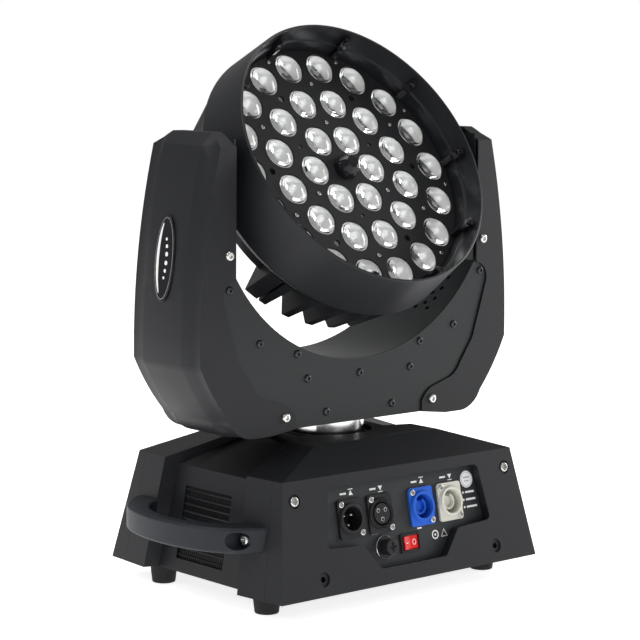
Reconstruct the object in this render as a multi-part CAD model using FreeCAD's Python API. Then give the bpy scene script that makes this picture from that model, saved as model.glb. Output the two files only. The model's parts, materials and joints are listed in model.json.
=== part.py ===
import FreeCAD, Part
import math
import os

from FreeCAD import Matrix, Placement, Vector

# Zoom wash moving head light: base, pan yoke and tilting lamp head.
# Millimetres, +Z up. Origin: centre of the rectangle that the four feet stand on.
# +X runs along the connector panel, -Y is the connector side, +Y the display side.
# The head is drawn with its beam raised TILT_DEG above the horizontal, towards -Y.

os.makedirs("parts", exist_ok=True)

# ---------------------------------------------------------------- driving dimensions
FOOT_H = 16.5              # underside of the base above the floor
BASE_HX = 139.0            # half length of the base at its bottom edge
BASE_HY = 109.0            # half width of the base at its bottom edge
EAVE_HX = 124.0            # half length at the eaves
EAVE_HY = 91.0             # half width at the eaves
EAVE_Z = 106.5             # height of the eaves
DECK_HX = 67.0             # half length of the flat deck on the roof
DECK_HY = 62.0             # half width of the flat deck on the roof
DECK_Z = 124.5             # height of the deck
PILLAR_Y_LOW = 60.0        # inner edge of a corner pillar at the bottom
PILLAR_Y_EAVE = 52.0       # inner edge of a corner pillar at the eaves
PILLAR_BULGE = 4.0         # how far a pillar swells past the corner at the bottom
SIDE_RECESS = 8.0          # how far the side band lies behind the pillars
COVER_WALL = 2.5           # wall of the plastic covers
PANEL_DEPTH = 8.0          # depth of the connector recess
TILT_AXIS_Z = 326.5        # height of the tilt axis
TILT_DEG = 32.0            # beam above the horizontal in the drawn pose
YOKE_R = 151.0             # inner radius of the U of the yoke
YOKE_CENTRE_Z = 337.5      # height of that radius's centre
ARM_X = 129.0              # inner face of each arm
ARM_TOP_Z = 371.0          # top of each arm
PLATE_Y = 40.8             # outer face of the yoke plates
PLATE_T = 1.5              # steel of the yoke plates
ARM_Y = 42.4               # outer face of the arm covers
YOKE_LOW_Z = 136.0         # lower edge of the yoke plates
SPINDLE_R = 31.0           # pan spindle
SPINDLE_BORE_R = 24.0      # cable bore of the spindle
HOOD_R_FRONT = 118.1       # outer radius of the hood at its front rim
HOOD_R_REAR = 123.0        # outer radius of the hood at its rear edge
HOOD_FRONT = 53.6          # front rim ahead of the tilt axis
LENS_PLANE = 23.3          # front face of the lens plate ahead of the tilt axis
LENS_RINGS = ((6, 30.3, 0.0), (12, 62.8, 15.0), (18, 95.8, 0.0))  # count, radius, phase
LENS_R = 12.3              # lens radius
HOLE_R = 13.5              # hole in the lens plate
REAR_R = 104.0             # radius of the rear cover next to the hood
DRUM_R = 90.0              # radius of the drum behind it
DRUM_BACK = 44.0           # back of the drum behind the tilt axis
FIN_R_FRONT = 120.2        # outer ends of the fins next to the hood
FIN_R_BACK = 109.5         # outer ends of the fins at their tips
FIN_BACK = 47.0            # tips of the fins behind the tilt axis
FIN_STEP = 12.0            # angle between two fins
SHAFT_R = 12.0             # tilt shafts
ZOOM_SCREW_R = 2.2         # lead screws of the zoom
ZOOM_CIRCLE_R = 76.0       # circle of the three lead screws
TILT_MOTOR_X = 135.0       # face of the tilt motor
TILT_PULLEY_X = 138.0      # inner end of the two tilt pulleys
TILT_PULLEY_W = 6.0        # their width between flanges
FREE = 0.3                 # gap between pieces that move past each other
BALL_FIT = 0.05            # radial running fit of shafts in bearings

PAN_PULLEY_R = 45.0
PAN_MOTOR_X = 82.0
TILT_PULLEY_R = 30.0
TILT_MOTOR_Z = 185.0
MOTOR_PULLEY_R = 9.0
MOTOR_HALF = 28.0          # half side of the square motors


# ---------------------------------------------------------------- helpers
def save(shape, node):
    """Write one sub-part as STEP."""
    shape.exportStep("parts/" + node + ".step")


def group(shapes):
    """Several separate solids that share one node."""
    return Part.makeCompound(shapes)


def box(x0, x1, y0, y1, z0, z1):
    """Block between two corners."""
    return Part.makeBox(x1 - x0, y1 - y0, z1 - z0, Vector(x0, y0, z0))


def rod(radius, start, direction, length):
    """Cylinder from a start point along a direction."""
    return Part.makeCylinder(radius, length, Vector(*start), Vector(*direction))


def tube(outer, inner, start, direction, length):
    """Hollow cylinder."""
    return rod(outer, start, direction, length).cut(rod(inner, start, direction, length))


def polygon(points):
    """Closed wire through points."""
    corners = [Vector(*p) for p in points]
    return Part.makePolygon(corners + corners[:1])


def prism(points, direction):
    """Solid of a flat outline pushed along a direction."""
    return Part.Face(polygon(points)).extrude(Vector(*direction))


def loft(outlines):
    """Solid with flat or ruled sides through outlines of equal point counts."""
    return Part.makeLoft([polygon(o) for o in outlines], True, True)


def mirror_x(shape):
    return shape.mirror(Vector(0, 0, 0), Vector(1, 0, 0))


def mirror_y(shape):
    return shape.mirror(Vector(0, 0, 0), Vector(0, 1, 0))


def turned_z(shape, degrees):
    copy = shape.copy()
    copy.rotate(Vector(0, 0, 0), Vector(0, 0, 1), degrees)
    return copy


def frame_of(origin, u, v, w):
    """Placement whose local x, y and z axes are u, v and w."""
    m = Matrix(u[0], v[0], w[0], origin[0],
               u[1], v[1], w[1], origin[1],
               u[2], v[2], w[2], origin[2],
               0, 0, 0, 1)
    return Placement(m)


def placed(shape, placement):
    copy = shape.copy()
    copy.transformShape(placement.toMatrix())
    return copy


def rounded(shape, radius, edges):
    """Fillet some edges, or leave the shape as it is where they can't be filleted."""
    if not edges:
        return shape
    try:
        result = shape.makeFillet(radius, edges)
    except Exception:
        return shape
    return result if result.isValid() and result.Volume > 0 else shape


def polar(radius, degrees):
    a = math.radians(degrees)
    return radius * math.cos(a), radius * math.sin(a)


def screw_head(radius, height, recess):
    """Pan head on z = 0 with a cross recess."""
    head = Part.makeCylinder(radius, height)
    head = rounded(head, 0.45 * height, [e for e in head.Edges
                                         if e.BoundBox.ZMin > 0.5 * height])
    slot = box(-recess, recess, -0.16 * radius, 0.16 * radius, 0.45 * height, height + 1)
    return head.cut(slot).cut(turned_z(slot, 90))


def screw(radius, height, shank_r, shank_l):
    """Pan head screw: head above z = 0, shank below."""
    shank = Part.makeCylinder(shank_r, shank_l, Vector(0, 0, -shank_l))
    return screw_head(radius, height, 0.6 * radius).fuse(shank)


def towards(shape, point, normal):
    """Put a shape built along +z at a point, with +z turned to the normal."""
    copy = shape.copy()
    turn = FreeCAD.Rotation(Vector(0, 0, 1), Vector(*normal))
    copy.transformShape(Placement(Vector(*point), turn).toMatrix())
    return copy


# ---------------------------------------------------------------- frames of the base faces
WALL_RISE = EAVE_Z - FOOT_H
WALL_LEAN = BASE_HY - EAVE_HY
WALL_LEN = math.hypot(WALL_RISE, WALL_LEAN)
LEAN_COS = WALL_RISE / WALL_LEN
LEAN_SIN = WALL_LEAN / WALL_LEN
FRONT = frame_of((0, -BASE_HY, FOOT_H), (1, 0, 0), (0, LEAN_SIN, LEAN_COS),
                 (0, -LEAN_COS, LEAN_SIN))
REAR = frame_of((0, BASE_HY, FOOT_H), (-1, 0, 0), (0, -LEAN_SIN, LEAN_COS),
                (0, LEAN_COS, LEAN_SIN))


# ---------------------------------------------------------------- outer form of the base
def ring_at(z, hx, hy, pillar_y, bulge):
    """Eight-cornered outline of the base at one height."""
    return [(-hx, -hy, z), (hx, -hy, z), (hx + bulge, -pillar_y, z), (hx + bulge, pillar_y, z),
            (hx, hy, z), (-hx, hy, z), (-hx - bulge, pillar_y, z), (-hx - bulge, -pillar_y, z)]


def base_hull(inset, floor_z=FOOT_H, roof_drop=None, bulge=PILLAR_BULGE):
    """Closed form of the base, moved inwards by inset on every wall."""
    drop = inset if roof_drop is None else roof_drop
    bulge_eave = bulge * (EAVE_HY - PILLAR_Y_EAVE) / (BASE_HY - PILLAR_Y_LOW) + 0.01
    low = ring_at(floor_z, BASE_HX - inset, BASE_HY - inset, PILLAR_Y_LOW, bulge + 0.01)
    mid = ring_at(EAVE_Z - drop, EAVE_HX - inset, EAVE_HY - inset, PILLAR_Y_EAVE, bulge_eave)
    top = ring_at(DECK_Z - drop, DECK_HX, DECK_HY, 0.55 * DECK_HY, 0.02)
    return loft([low, mid]).fuse(loft([mid, top]))


def plane_y(a, b, c):
    """Function giving y on the plane through three points."""
    n = (Vector(*b) - Vector(*a)).cross(Vector(*c) - Vector(*a))
    d = n.dot(Vector(*a))

    def y_at(x, z):
        return (d - n.x * x - n.z * z) / n.y
    return y_at


PILLAR_PLANE = plane_y((BASE_HX + PILLAR_BULGE, PILLAR_Y_LOW, FOOT_H),
                       (EAVE_HX + 3.0, PILLAR_Y_EAVE, EAVE_Z),
                       (DECK_HX, 31.0, DECK_Z))
SEAM_PLANE = plane_y((BASE_HX + 3.5, 91.0, FOOT_H), (EAVE_HX, 80.0, EAVE_Z),
                     (DECK_HX, 55.0, DECK_Z))


def between_planes(y_at, x_in, x_out, grow):
    """Space with |y| below a slanting plane, from x_in to x_out, both sides of y = 0."""
    outlines = []
    for z in (0.0, 150.0):
        outlines.append([(x_in, -y_at(x_in, z) - grow, z), (x_out, -y_at(x_out, z) - grow, z),
                         (x_out, y_at(x_out, z) + grow, z), (x_in, y_at(x_in, z) + grow, z)])
    return loft(outlines)


def side_wedges(grow):
    """The two recessed bands between the pillars, on +X and -X."""
    right = between_planes(PILLAR_PLANE, 40.0 - grow, 160.0, grow)
    return right.fuse(mirror_x(right))


def centre_form(inset, grow):
    """Base form with the side bands set back between its pillars."""
    wedges = side_wedges(grow)
    proud = base_hull(inset).cut(wedges)
    sunk = base_hull(inset + SIDE_RECESS, FOOT_H, inset + 0.7 * SIDE_RECESS, 0.0)
    return proud.fuse(sunk.common(wedges))


def centre_zone(grow):
    """Space of the centre cover between the two end covers."""
    right = between_planes(SEAM_PLANE, DECK_HX, 160.0, grow)
    middle = box(-DECK_HX - 1, DECK_HX + 1, -55.0 - grow, 55.0 + grow, 0, 150)
    return right.fuse(mirror_x(right)).fuse(middle)


HULL = base_hull(0.0)
HOLLOW = base_hull(COVER_WALL, FOOT_H - 1.0)
ZONE = centre_zone(0.0)

# ---------------------------------------------------------------- panel outlines on the front
PANEL_CU = 2.0
RECESS_OUTLINE = ((-81.5, 82.5), (81.5, 82.5), (89.5, 36.0), (52.0, 34.0), (35.5, 13.0),
                  (-35.5, 13.0), (-52.0, 34.0), (-89.5, 36.0))


def recess_prism(grow, w0, w1):
    """Prism over the recess outline, in the frame of the front wall."""
    mid_v = 50.0
    points = []
    for u, v in RECESS_OUTLINE:
        side = 1 if u > 0 else -1
        points.append((PANEL_CU + u + side * grow, v + (grow if v > mid_v else -grow), w0))
    body = prism(points, (0, 0, w1 - w0))
    upright = [e for e in body.Edges if abs(e.BoundBox.ZLength - (w1 - w0)) < 0.01]
    return rounded(body, 4.0, upright)


# name, u, v on the panel
XLR_V = 55.6
LOW_V = 28.6
CONNECTORS = {"xlr_inlet": -54.0, "xlr_outlet": -22.5, "power_inlet": 22.5,
              "power_outlet": 54.5}
FUSE_U = -22.0
SWITCH_U = 6.0
W_PANEL = -PANEL_DEPTH

END_SCREWS_TOP = ((-114.5, 76.3), (114.5, 76.3))
END_SCREWS_LOW = ((-94.0, 13.5), (94.0, 13.5))


def end_cover(placement):
    """Thin end cover: front or rear wall, its roof slope and the wrapped corners."""
    shell = HULL.cut(HOLLOW).cut(ZONE)
    side = box(-200, 200, -200, 0, 0, 200)
    if placement is REAR:
        side = mirror_y(side)
    cover = shell.common(side)
    for u, v in END_SCREWS_TOP + END_SCREWS_LOW:
        hole = Part.makeCylinder(2.3, 20, Vector(u, v, -10))
        pocket = Part.makeCylinder(5.6, 10, Vector(u, v, -1.4))
        boss = Part.makeCylinder(7.0, 4.4, Vector(u, v, -5.0))
        cover = cover.fuse(placed(boss, placement).common(HULL))
        cover = cover.cut(placed(hole, placement)).cut(placed(pocket, placement))
    return cover


def make_front_cover():
    cover = end_cover(FRONT)
    collar = placed(recess_prism(2.0, -PANEL_DEPTH, -0.5), FRONT).common(HULL)
    opening = placed(recess_prism(0.0, -PANEL_DEPTH - 1, 3.0), FRONT)
    return cover.fuse(collar).cut(opening)


def make_rear_cover():
    cover = end_cover(REAR)
    window = prism([(-62, 26, -9), (62, 26, -9), (62, 74, -9), (-62, 74, -9)], (0, 0, 20))
    return cover.cut(placed(window, REAR))


DISH_R = 38.0
DISH_FLOOR = DECK_Z - 3.0
GRILLE_Y = (-24.0, 35.0)
GRILLE_Z = (27.0, 85.0)


def make_centre_cover():
    """Middle casing: four pillars, two sunk side bands, the deck and the bearing collar."""
    outer = centre_form(0.0, 0.0)
    inner = centre_form(COVER_WALL, COVER_WALL)
    slab = box(-200, 200, -200, 200, 0, FOOT_H)
    shell = outer.cut(inner).common(centre_zone(-0.15)).cut(slab)
    deck = rod(48.0, (0, 0, DISH_FLOOR - 3.0), (0, 0, 1), 3.0 + DECK_Z - DISH_FLOOR - 0.5)
    collar = tube(48.0, 42.0, (0, 0, 104.0), (0, 0, 1), DISH_FLOOR - 104.0)
    shell = shell.fuse(deck).fuse(collar)
    shell = shell.cut(rod(DISH_R, (0, 0, DISH_FLOOR), (0, 0, 1), 20))
    shell = shell.cut(rod(SPINDLE_R + 1.0, (0, 0, 90), (0, 0, 1), 50))
    shell = shell.cut(box(-200, 200, GRILLE_Y[0], GRILLE_Y[1], GRILLE_Z[0], GRILLE_Z[1]))
    for sx in (-1, 1):
        for sy in (-1, 1):
            shell = shell.cut(rod(2.7, (sx * 150, sy * HANDLE_SCREW_Y, HANDLE_Z),
                                  (-sx, 0, 0), 50))
    return shell


HANDLE_Z = 61.5
HANDLE_HALF = 10.0
HANDLE_SCREW_Y = 70.0


def arc3(a, b, c):
    return Part.Arc(Vector(*a), Vector(*b), Vector(*c)).toShape()


def make_handle():
    """Bow handle of the +X side: a strap standing on two pillars."""
    z = HANDLE_Z - HANDLE_HALF
    outer = [arc3((124, -84.5, z), (152, -69.3, z), (168, -44, z)),
             arc3((168, -44, z), (175, 0, z), (168, 44, z)),
             arc3((168, 44, z), (152, 69.3, z), (124, 84.5, z))]
    inner = [arc3((124, 57, z), (144.7, 47.1, z), (157, 30, z)),
             arc3((157, 30, z), (163, 0, z), (157, -30, z)),
             arc3((157, -30, z), (144.7, -47.1, z), (124, -57, z))]
    ends = [Part.makeLine(Vector(124, 84.5, z), Vector(124, 57, z)),
            Part.makeLine(Vector(124, -57, z), Vector(124, -84.5, z))]
    wire = Part.Wire(outer + ends[:1] + inner + ends[1:])
    strap = Part.Face(wire).extrude(Vector(0, 0, 2 * HANDLE_HALF))
    strap = rounded(strap, 2.5, [e for e in strap.Edges
                                 if e.BoundBox.ZLength < 0.01 and e.BoundBox.XMax > 130])
    strap = strap.cut(HULL)
    for sy in (-1, 1):
        strap = strap.cut(rod(7.0, (142.5, sy * HANDLE_SCREW_Y, HANDLE_Z), (1, 0, 0), 40))
        strap = strap.cut(rod(2.7, (100, sy * HANDLE_SCREW_Y, HANDLE_Z), (1, 0, 0), 60))
    return strap


def make_base():
    save(make_front_cover(), "base_front_cover")
    save(make_rear_cover(), "base_rear_cover")
    save(make_centre_cover(), "base_centre_cover")

    plate = base_hull(3.2).common(box(-200, 200, -200, 200, FOOT_H, FOOT_H + 2))
    slab = box(-200, 200, -200, 200, FOOT_H, FOOT_H + 2)
    plate = plate.cut(side_wedges(COVER_WALL + 0.4))
    plate = plate.fuse(base_hull(SIDE_RECESS + 3.2, FOOT_H, None, 0.0).common(slab))
    for sx in (-1, 1):
        for sy in (-1, 1):
            plate = plate.cut(rod(4.25, (sx * 70, sy * 45, 0), (0, 0, 1), 40))
    save(plate, "base_plate")

    feet = []
    for sx in (-1, 1):
        for sy in (-1, 1):
            foot = Part.makeCone(9.5, 11.5, FOOT_H, Vector(sx * 118, sy * 66, 0))
            foot = foot.cut(rod(5.0, (sx * 118, sy * 66, -1), (0, 0, 1), 5))
            feet.append(foot)
    save(group(feet), "rubber_feet")

    handle = make_handle()
    save(handle, "right_handle")
    save(mirror_x(handle), "left_handle")

    grilles = []
    for sx in (-1, 1):
        skin = SIDE_RECESS + COVER_WALL
        slab = base_hull(skin, FOOT_H, None, 0.0)
        slab = slab.cut(base_hull(skin + 1.2, FOOT_H - 1, None, 0.0))
        half = box(100, 200, GRILLE_Y[0] - 4, GRILLE_Y[1] + 4, GRILLE_Z[0] - 4, GRILLE_Z[1] + 3)
        grille = slab.common(half)
        grilles.append(grille if sx > 0 else mirror_x(grille))
    save(group(grilles), "side_grilles")

    bolts = []
    bolt = screw(4.2, 2.8, 2.5, 14.0)
    for sx in (-1, 1):
        for sy in (-1, 1):
            bolts.append(towards(bolt, (sx * 142.5, sy * HANDLE_SCREW_Y, HANDLE_Z), (sx, 0, 0)))
    cover_bolt = screw(3.9, 2.4, 2.1, 9.0)
    for placement in (FRONT, REAR):
        for u, v in END_SCREWS_TOP:
            bolts.append(placed(towards(cover_bolt, (u, v, -1.4), (0, 0, 1)), placement))
    small = screw(2.6, 1.6, 1.25, 6.0)
    for u in CONNECTORS.values():
        for s in (-1, 1):
            place = (u + s * 9.5, XLR_V - s * 12, W_PANEL + 2.0)
            bolts.append(placed(towards(small, place, (0, 0, 1)), FRONT))
    save(group(bolts), "base_screws")


# ---------------------------------------------------------------- connector panel
def d_flange(grow=0.0):
    """Square flange of a panel connector, back face on w = 0."""
    plate = box(-13 - grow, 13 + grow, -15.5 - grow, 15.5 + grow, 0, 2.0)
    plate = rounded(plate, 2.5, [e for e in plate.Edges if e.BoundBox.ZLength > 1.9])
    for s in (-1, 1):
        plate = plate.cut(Part.makeCylinder(1.6, 10, Vector(s * 9.5, -s * 12.0, -3)))
    return plate


def on_panel(shape, u, v):
    """Move a connector drawn about the local origin to its place on the panel."""
    return placed(towards(shape, (u, v, W_PANEL), (0, 0, 1)), FRONT)


def make_xlr_inlet():
    """Data inlet: flanged round cup."""
    body = d_flange().fuse(Part.makeCylinder(11.8, 26, Vector(0, 0, -22)))
    return body.cut(Part.makeCylinder(9.6, 30, Vector(0, 0, -13)))


def make_xlr_outlet():
    """Data outlet: insert standing inside a ring groove."""
    body = d_flange().fuse(Part.makeCylinder(11.8, 25.5, Vector(0, 0, -22)))
    return body.cut(tube(9.9, 8.2, (0, 0, -4), (0, 0, 1), 20))


def make_power_connector():
    """Twist-lock power socket: flanged cup with a round hub."""
    body = d_flange().fuse(Part.makeCylinder(11.8, 26.5, Vector(0, 0, -22)))
    body = body.cut(Part.makeCylinder(9.9, 30, Vector(0, 0, -12)))
    return body.fuse(Part.makeCylinder(4.6, 9.5, Vector(0, 0, -12.5)))


ROCKER_REST = 9.0          # the rocker rests pressed down on its far side
TRUNNION_R = 1.0           # stub axles of the rocker


def make_rocker():
    """Rocker about its own v axis, tipped to the off side."""
    shape = prism([(-7.6, -5.3, -1.5), (-8.2, -5.3, 1.9), (0, -5.3, 0.6), (8.2, -5.3, 1.9),
                   (7.6, -5.3, -1.5), (4, -5.3, -5.5), (-4, -5.3, -5.5)], (0, 10.6, 0))
    for s in (-1, 1):
        shape = shape.fuse(rod(TRUNNION_R, (0, s * 4.8, 0), (0, s, 0), 1.6))
    shape.rotate(Vector(0, 0, 0), Vector(0, 1, 0), ROCKER_REST)
    return shape


def make_panel():
    panel = recess_prism(4.0, W_PANEL - 1.5, W_PANEL)
    for u in CONNECTORS.values():
        panel = panel.cut(Part.makeCylinder(12.0, 9, Vector(u, XLR_V, -14)))
        for s in (-1, 1):
            panel = panel.cut(Part.makeCylinder(1.3, 9, Vector(u + s * 9.5, XLR_V - s * 12, -14)))
    panel = panel.cut(Part.makeCylinder(6.6, 9, Vector(FUSE_U, LOW_V, -14)))
    panel = panel.cut(box(SWITCH_U - 10.0, SWITCH_U + 10.0, LOW_V - 6.8, LOW_V + 6.8, -14, -5))
    save(placed(panel, FRONT), "connector_panel")

    makers = {"xlr_inlet": make_xlr_inlet, "xlr_outlet": make_xlr_outlet,
              "power_inlet": make_power_connector, "power_outlet": make_power_connector}
    for node, u in CONNECTORS.items():
        save(on_panel(makers[node](), u, XLR_V), node)

    holder = Part.makeCylinder(9.0, 1.6).fuse(Part.makeCylinder(6.5, 30, Vector(0, 0, -28.4)))
    holder = holder.cut(Part.makeCylinder(5.6, 30, Vector(0, 0, -24)))
    save(on_panel(holder, FUSE_U, LOW_V), "fuse_holder")
    cap = Part.makeCylinder(6.2, 9.0, Vector(0, 0, 1.9))
    cap = rounded(cap, 0.8, [e for e in cap.Edges if e.BoundBox.ZMin > 10])
    cap = cap.fuse(Part.makeCylinder(5.3, 12.0, Vector(0, 0, -10)))
    cap = cap.cut(box(-3.6, 3.6, -0.7, 0.7, 9.6, 12)).cut(box(-0.7, 0.7, -3.6, 3.6, 9.6, 12))
    save(on_panel(cap, FUSE_U, LOW_V), "fuse_cap")

    body = box(-10.5, 10.5, -7.5, 7.5, 0, 1.8).fuse(box(-9.8, 9.8, -6.6, 6.6, -16, 0))
    body = body.cut(box(-8.8, 8.8, -5.7, 5.7, -7.0, 5))
    body = body.cut(rod(TRUNNION_R + BALL_FIT, (0, -6.5, 0), (0, 1, 0), 13.0))
    save(on_panel(body, SWITCH_U, LOW_V), "switch_body")
    save(on_panel(make_rocker(), SWITCH_U, LOW_V), "switch_rocker")


# ---------------------------------------------------------------- display on the rear
BUTTONS = (("menu_button_back", 34.0, 58.0), ("menu_button_up", 49.0, 58.0),
           ("menu_button_down", 34.0, 42.0), ("menu_button_enter", 49.0, 42.0))


def make_display():
    bezel = box(-66, 66, 22, 78, 0.0, 2.0)
    bezel = rounded(bezel, 4.0, [e for e in bezel.Edges if e.BoundBox.ZLength > 1.9])
    bezel = bezel.fuse(box(-61, 61, 27, 73, -3.5, 0.5))
    bezel = bezel.cut(box(-50, 18, 34, 66, -1.0, 5))
    for _, u, v in BUTTONS:
        bezel = bezel.cut(Part.makeCylinder(5.0, 20, Vector(u, v, -10)))
    save(placed(bezel, REAR), "display_bezel")
    for node, u, v in BUTTONS:
        button = Part.makeCylinder(4.6, 7.0, Vector(u, v, -3.0))
        button = rounded(button, 0.8, [e for e in button.Edges if e.BoundBox.ZMin > 3.5])
        button = button.fuse(Part.makeCylinder(6.2, 1.2, Vector(u, v, -5.2)))
        button = button.fuse(Part.makeCylinder(3.0, 3.0, Vector(u, v, -4.5)))
        save(placed(button, REAR), node)


# ---------------------------------------------------------------- inside of the base
def belt(r_a, r_b, distance, clearance, thickness, width):
    """Flat closed belt about two pulleys, the first at the origin, the second on +x."""
    def outline(extra):
        ra = r_a + clearance + extra
        rb = r_b + clearance + extra
        lean = math.asin((ra - rb) / distance)
        up = (math.sin(lean), math.cos(lean))
        a1 = (ra * up[0], ra * up[1], 0)
        a2 = (ra * up[0], -ra * up[1], 0)
        b1 = (distance + rb * up[0], rb * up[1], 0)
        b2 = (distance + rb * up[0], -rb * up[1], 0)
        edges = [arc3(a2, (-ra, 0, 0), a1), Part.makeLine(Vector(*a1), Vector(*b1)),
                 arc3(b1, (distance + rb, 0, 0), b2), Part.makeLine(Vector(*b2), Vector(*a2))]
        return Part.Face(Part.Wire(edges)).extrude(Vector(0, 0, width))
    return outline(thickness).cut(outline(0.0))


def pulley(radius, width, bore):
    """Belt pulley along +z with two flanges and a shallow toothed rim."""
    wheel = Part.makeCylinder(radius, width)
    for z in (-1.2, width):
        wheel = wheel.fuse(Part.makeCylinder(radius + 2.6, 1.2, Vector(0, 0, z)))
    teeth = max(12, int(radius * 1.2))
    for k in range(teeth):
        x, y = polar(radius, 360.0 * k / teeth)
        wheel = wheel.cut(Part.makeCylinder(0.7, width, Vector(x, y, 0)))
    return wheel.cut(Part.makeCylinder(bore, width + 4, Vector(0, 0, -2)))


def motor(length):
    """Square stepper motor, its face on z = 0 and its body below."""
    body = box(-MOTOR_HALF, MOTOR_HALF, -MOTOR_HALF, MOTOR_HALF, -length, 0)
    body = rounded(body, 4.0, [e for e in body.Edges if e.BoundBox.ZLength > length - 1])
    body = body.fuse(Part.makeCylinder(19.0, 1.5))
    return body.fuse(Part.makeCylinder(3.175, 13.0))


def make_base_inside():
    supply = box(-94, -34, -52, 76, 32, 68)
    save(rounded(supply, 1.5, [e for e in supply.Edges if e.BoundBox.ZLength > 30]),
         "power_supply")

    save(placed(motor(52.0), Placement(Vector(PAN_MOTOR_X, 0, 86.0), FreeCAD.Rotation())),
         "pan_motor")
    small = pulley(MOTOR_PULLEY_R, 9.0, 3.175 + BALL_FIT)
    save(placed(small, Placement(Vector(PAN_MOTOR_X, 0, 89.5), FreeCAD.Rotation())),
         "pan_motor_pulley")
    loop = belt(PAN_PULLEY_R, MOTOR_PULLEY_R, PAN_MOTOR_X, FREE, 1.6, 8.0)
    save(placed(loop, Placement(Vector(0, 0, 90.0), FreeCAD.Rotation())), "pan_belt")

    bearing = tube(41.8, SPINDLE_R + BALL_FIT, (0, 0, 106), (0, 0, 1), 9.6)
    bearing = bearing.cut(tube(38.0, 35.0, (0, 0, 105), (0, 0, 1), 2.0))
    save(bearing, "pan_bearing")

    frame = box(-113.5, -98.5, -30, 30, 27, 87)
    frame = frame.cut(rod(27.5, (-120, 0, 57), (1, 0, 0), 30))
    for k in range(4):
        spoke = box(-101.5, -98.5, -1.5, 1.5, 0, 29)
        spoke.rotate(Vector(0, 0, 0), Vector(1, 0, 0), 45 + 90 * k)
        spoke.translate(Vector(0, 0, 57))
        frame = frame.fuse(spoke)
    frame = frame.fuse(rod(11.0, (-101.5, 0, 57), (1, 0, 0), 3.0))
    save(frame, "fan_frame")
    rotor = rod(12.0, (-112.0, 0, 57), (1, 0, 0), 10.0)
    for k in range(7):
        blade = box(-111.5, -110.3, -4.5, 4.5, 11.0, 26.3)
        blade.rotate(Vector(-110, 0, 0), Vector(0, 0, 1), 38)
        blade.translate(Vector(3.5, 0, 0))
        blade.rotate(Vector(0, 0, 0), Vector(1, 0, 0), 360.0 * k / 7)
        blade.translate(Vector(0, 0, 57))
        rotor = rotor.fuse(blade)
    save(rotor, "fan_rotor")


# ---------------------------------------------------------------- yoke
ARM_EDGE_X = 165.5         # outer face of an arm where it is widest
ARM_EDGE_Z = 200.0         # height of that widest place
ARM_EDGE_R = 666.0         # radius of the outer face above it


def arm_edge_x(z, extra):
    """Outer face of an arm at a height above its widest place."""
    radius = ARM_EDGE_R + extra
    centre = ARM_EDGE_X - ARM_EDGE_R
    return centre + math.sqrt(radius ** 2 - (z - ARM_EDGE_Z) ** 2)


def arm_outline(y, extra, inset=0.0, open_side=False):
    """Outline of an arm cover in a plane of constant y; extra swells its outer side."""
    e = extra - inset
    top = ARM_TOP_Z - inset
    shoulder_z = 361.0 - 0.6 * inset
    low = 132.5 + inset
    out = []

    def line(a, b):
        out.append(Part.makeLine(Vector(a[0], y, a[1]), Vector(b[0], y, b[1])))

    def arc(a, b, c):
        out.append(arc3((a[0], y, a[1]), (b[0], y, b[1]), (c[0], y, c[1])))

    inner_x = ARM_X + 1.4
    start = (60.0, top) if open_side else (inner_x, top)
    corner = (138.5 + 0.5 * extra - 0.5 * inset, top)
    shoulder = (arm_edge_x(shoulder_z, e), shoulder_z)
    mid_z = 0.5 * (shoulder_z + ARM_EDGE_Z)
    widest = (arm_edge_x(ARM_EDGE_Z, e), ARM_EDGE_Z)
    hip = (ARM_EDGE_X + e, 193.0)
    heel = (137.0 + 0.9 * e, 148.5 - 0.4 * e)
    toe = (113.0, low)
    line(start, corner)
    line(corner, shoulder)
    arc(shoulder, (arm_edge_x(mid_z, e), mid_z), widest)
    line(widest, hip)
    arc(hip, (0.5 * (hip[0] + heel[0]) + 1.6, 0.5 * (hip[1] + heel[1]) - 0.9), heel)
    arc(heel, (127.0 + 0.45 * e, 136.7 + inset - 0.45 * extra), toe)
    if open_side:
        line(toe, (60.0, low))
        line((60.0, low), start)
    else:
        line(toe, (96.0, low))
        line((96.0, low), (68.6, YOKE_LOW_Z))
        line((68.6, YOKE_LOW_Z), (68.9, 145.0))
        arc((68.9, 145.0), (73.5, 151.6), (84.0, 157.3))
        line((84.0, 157.3), (100.0, 162.0))
        arc((100.0, 162.0), (108.0, 167.0), (113.0, 174.0))
        line((113.0, 174.0), (127.0, 194.0))
        line((127.0, 194.0), (142.2, 240.5))
        arc((142.2, 240.5), (140.5, 251.8), (inner_x, 257.6))
        line((inner_x, 257.6), start)
    return Part.Wire(out)


def lofted(wires):
    return Part.makeLoft(wires, True, True)


BAND_LOW = 33.0            # |y| where the bevel of the raised side band starts
BAND_TOP = 24.0            # |y| where it ends
BAND_RAISE = 4.0           # height of the raised side band


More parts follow.
